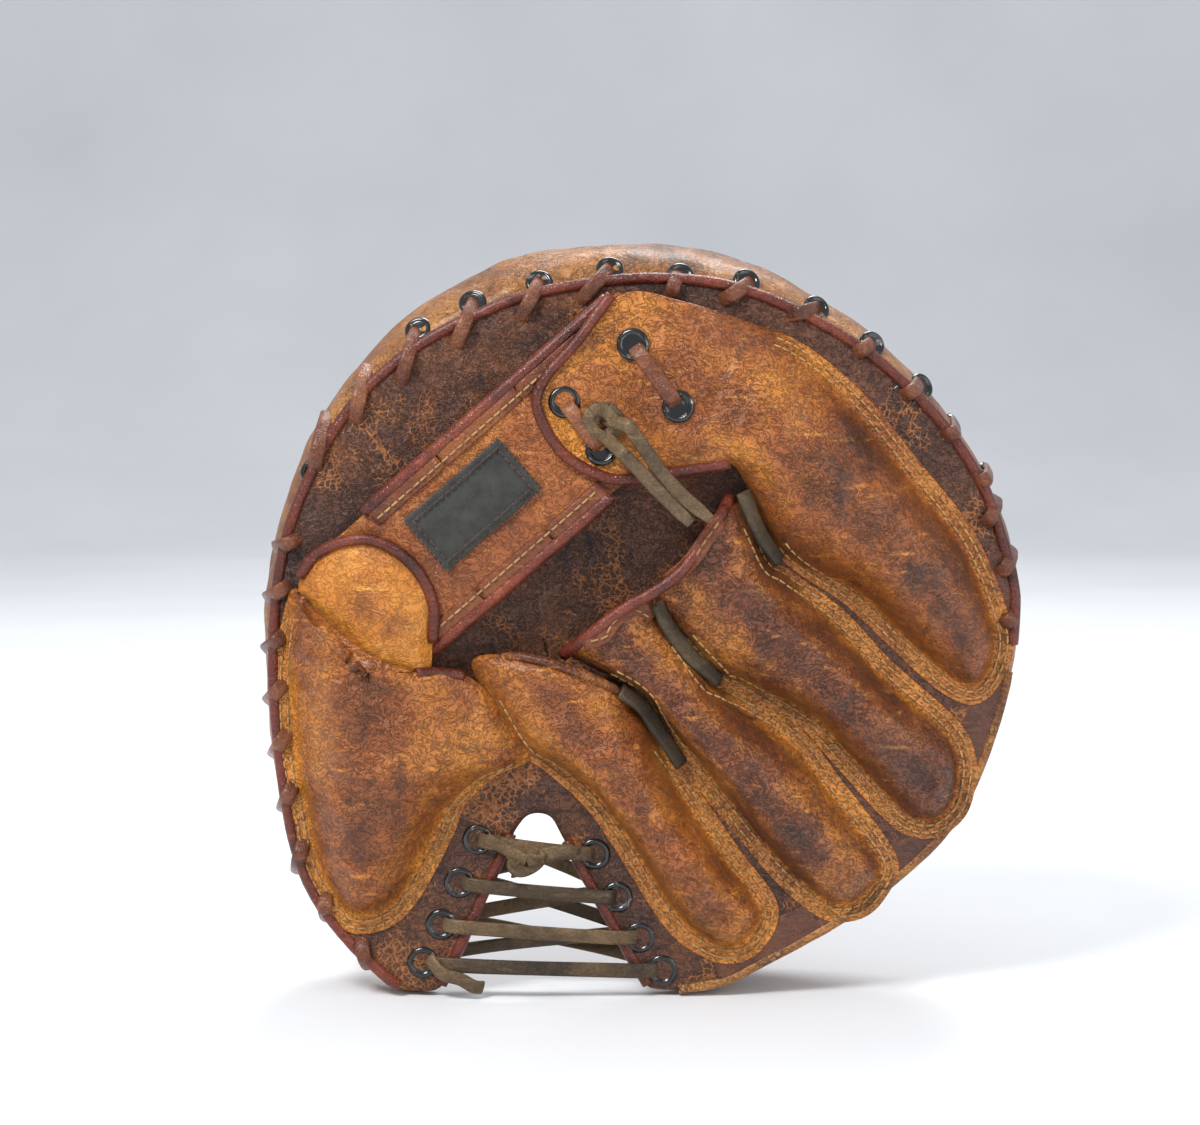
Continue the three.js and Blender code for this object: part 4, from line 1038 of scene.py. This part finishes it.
# ---- Thread ----
parts, thumb_parts = Parts(), Parts()
SEWN_SHARES = ((little, 0.06, 0.60), (ring, 0.05, 0.83), (middle, 0.05, 0.83), (index, 0.05, 0.75))
for stall, low, high in SEWN_SHARES:
    for inset in (2.4, 5.2):
        stitches(parts, spline(stall.edge_path(low, high, inset), 90))
for inset in (2.4, 5.2):
    stitches(thumb_parts, spline(thumb.edge_path(0.03, 0.66, inset), 90))
for across, low, high in ((22.6, 31, 128), (-22.6, 11, 99)):
    stitches(thumb_parts, [strap_point(a, across, 5.7) for a in np.linspace(low, high, 40)])
for stall, low, high in ((ring, 0.87, 0.98), (middle, 0.86, 0.98)):
    stitches(parts, stall.edge_path(low, high, 5.0, 2.0))
patch_parts = Parts()
for edge_line in (((-1, -1), (1, -1)), ((1, -1), (1, 1)), ((1, 1), (-1, 1)), ((-1, 1), (-1, -1))):
    ends = [np.array([PATCH_ALONG + u * 20.6, PATCH_ACROSS + v * 9.6]) for u, v in edge_line]
    places = [mix(*ends, t) for t in np.linspace(0, 1, 12)]
    row = [strap_point(*place, 7.6 - 1.4 * (place[1] / 27) ** 2) for place in places]
    stitches(patch_parts, row, pitch=2.8, length=2.1)
give(patch_parts.make("patch_stitching", DARK_THREAD), "fold", "label_felt")
give(parts.make("finger_stitching", THREAD), FINGERS, "piping_leather")
give(thumb_parts.make("thumb_stitching", THREAD), "fold", "piping_leather")


# ---- Floor ----
floor_mesh = bpy.data.meshes.new("floor")
FLOOR_LEVEL = -0.0002
floor_points = []
sweep = [(2.0 + math.sin(a), 1.0 - math.cos(a)) for a in np.linspace(0, math.pi / 2, 16)]
profile = [(-3.0, 0.0)] + sweep + [(3.0, 4.0)]
for y, z in profile:
    floor_points += [(-4, y, z + FLOOR_LEVEL), (4, y, z + FLOOR_LEVEL)]
floor_faces = [(2 * i, 2 * i + 1, 2 * i + 3, 2 * i + 2) for i in range(len(profile) - 1)]
floor_mesh.from_pydata(floor_points, [], floor_faces)
floor_mesh.polygons.foreach_set("use_smooth", [True] * len(floor_mesh.polygons))
paper = Look("backdrop_paper")
pale = paper.ramp(paper.noise(3, 3), (0.3, (226, 229, 232)), (0.7, (236, 238, 240)))
floor_mesh.materials.append(paper.finish(pale, 0.9, paper.bump(paper.noise(600, 3), 0.00005)))
floor = bpy.data.objects.new("floor", floor_mesh)
bpy.context.scene.collection.objects.link(floor)

bpy.context.scene.view_settings.view_transform = "Standard"
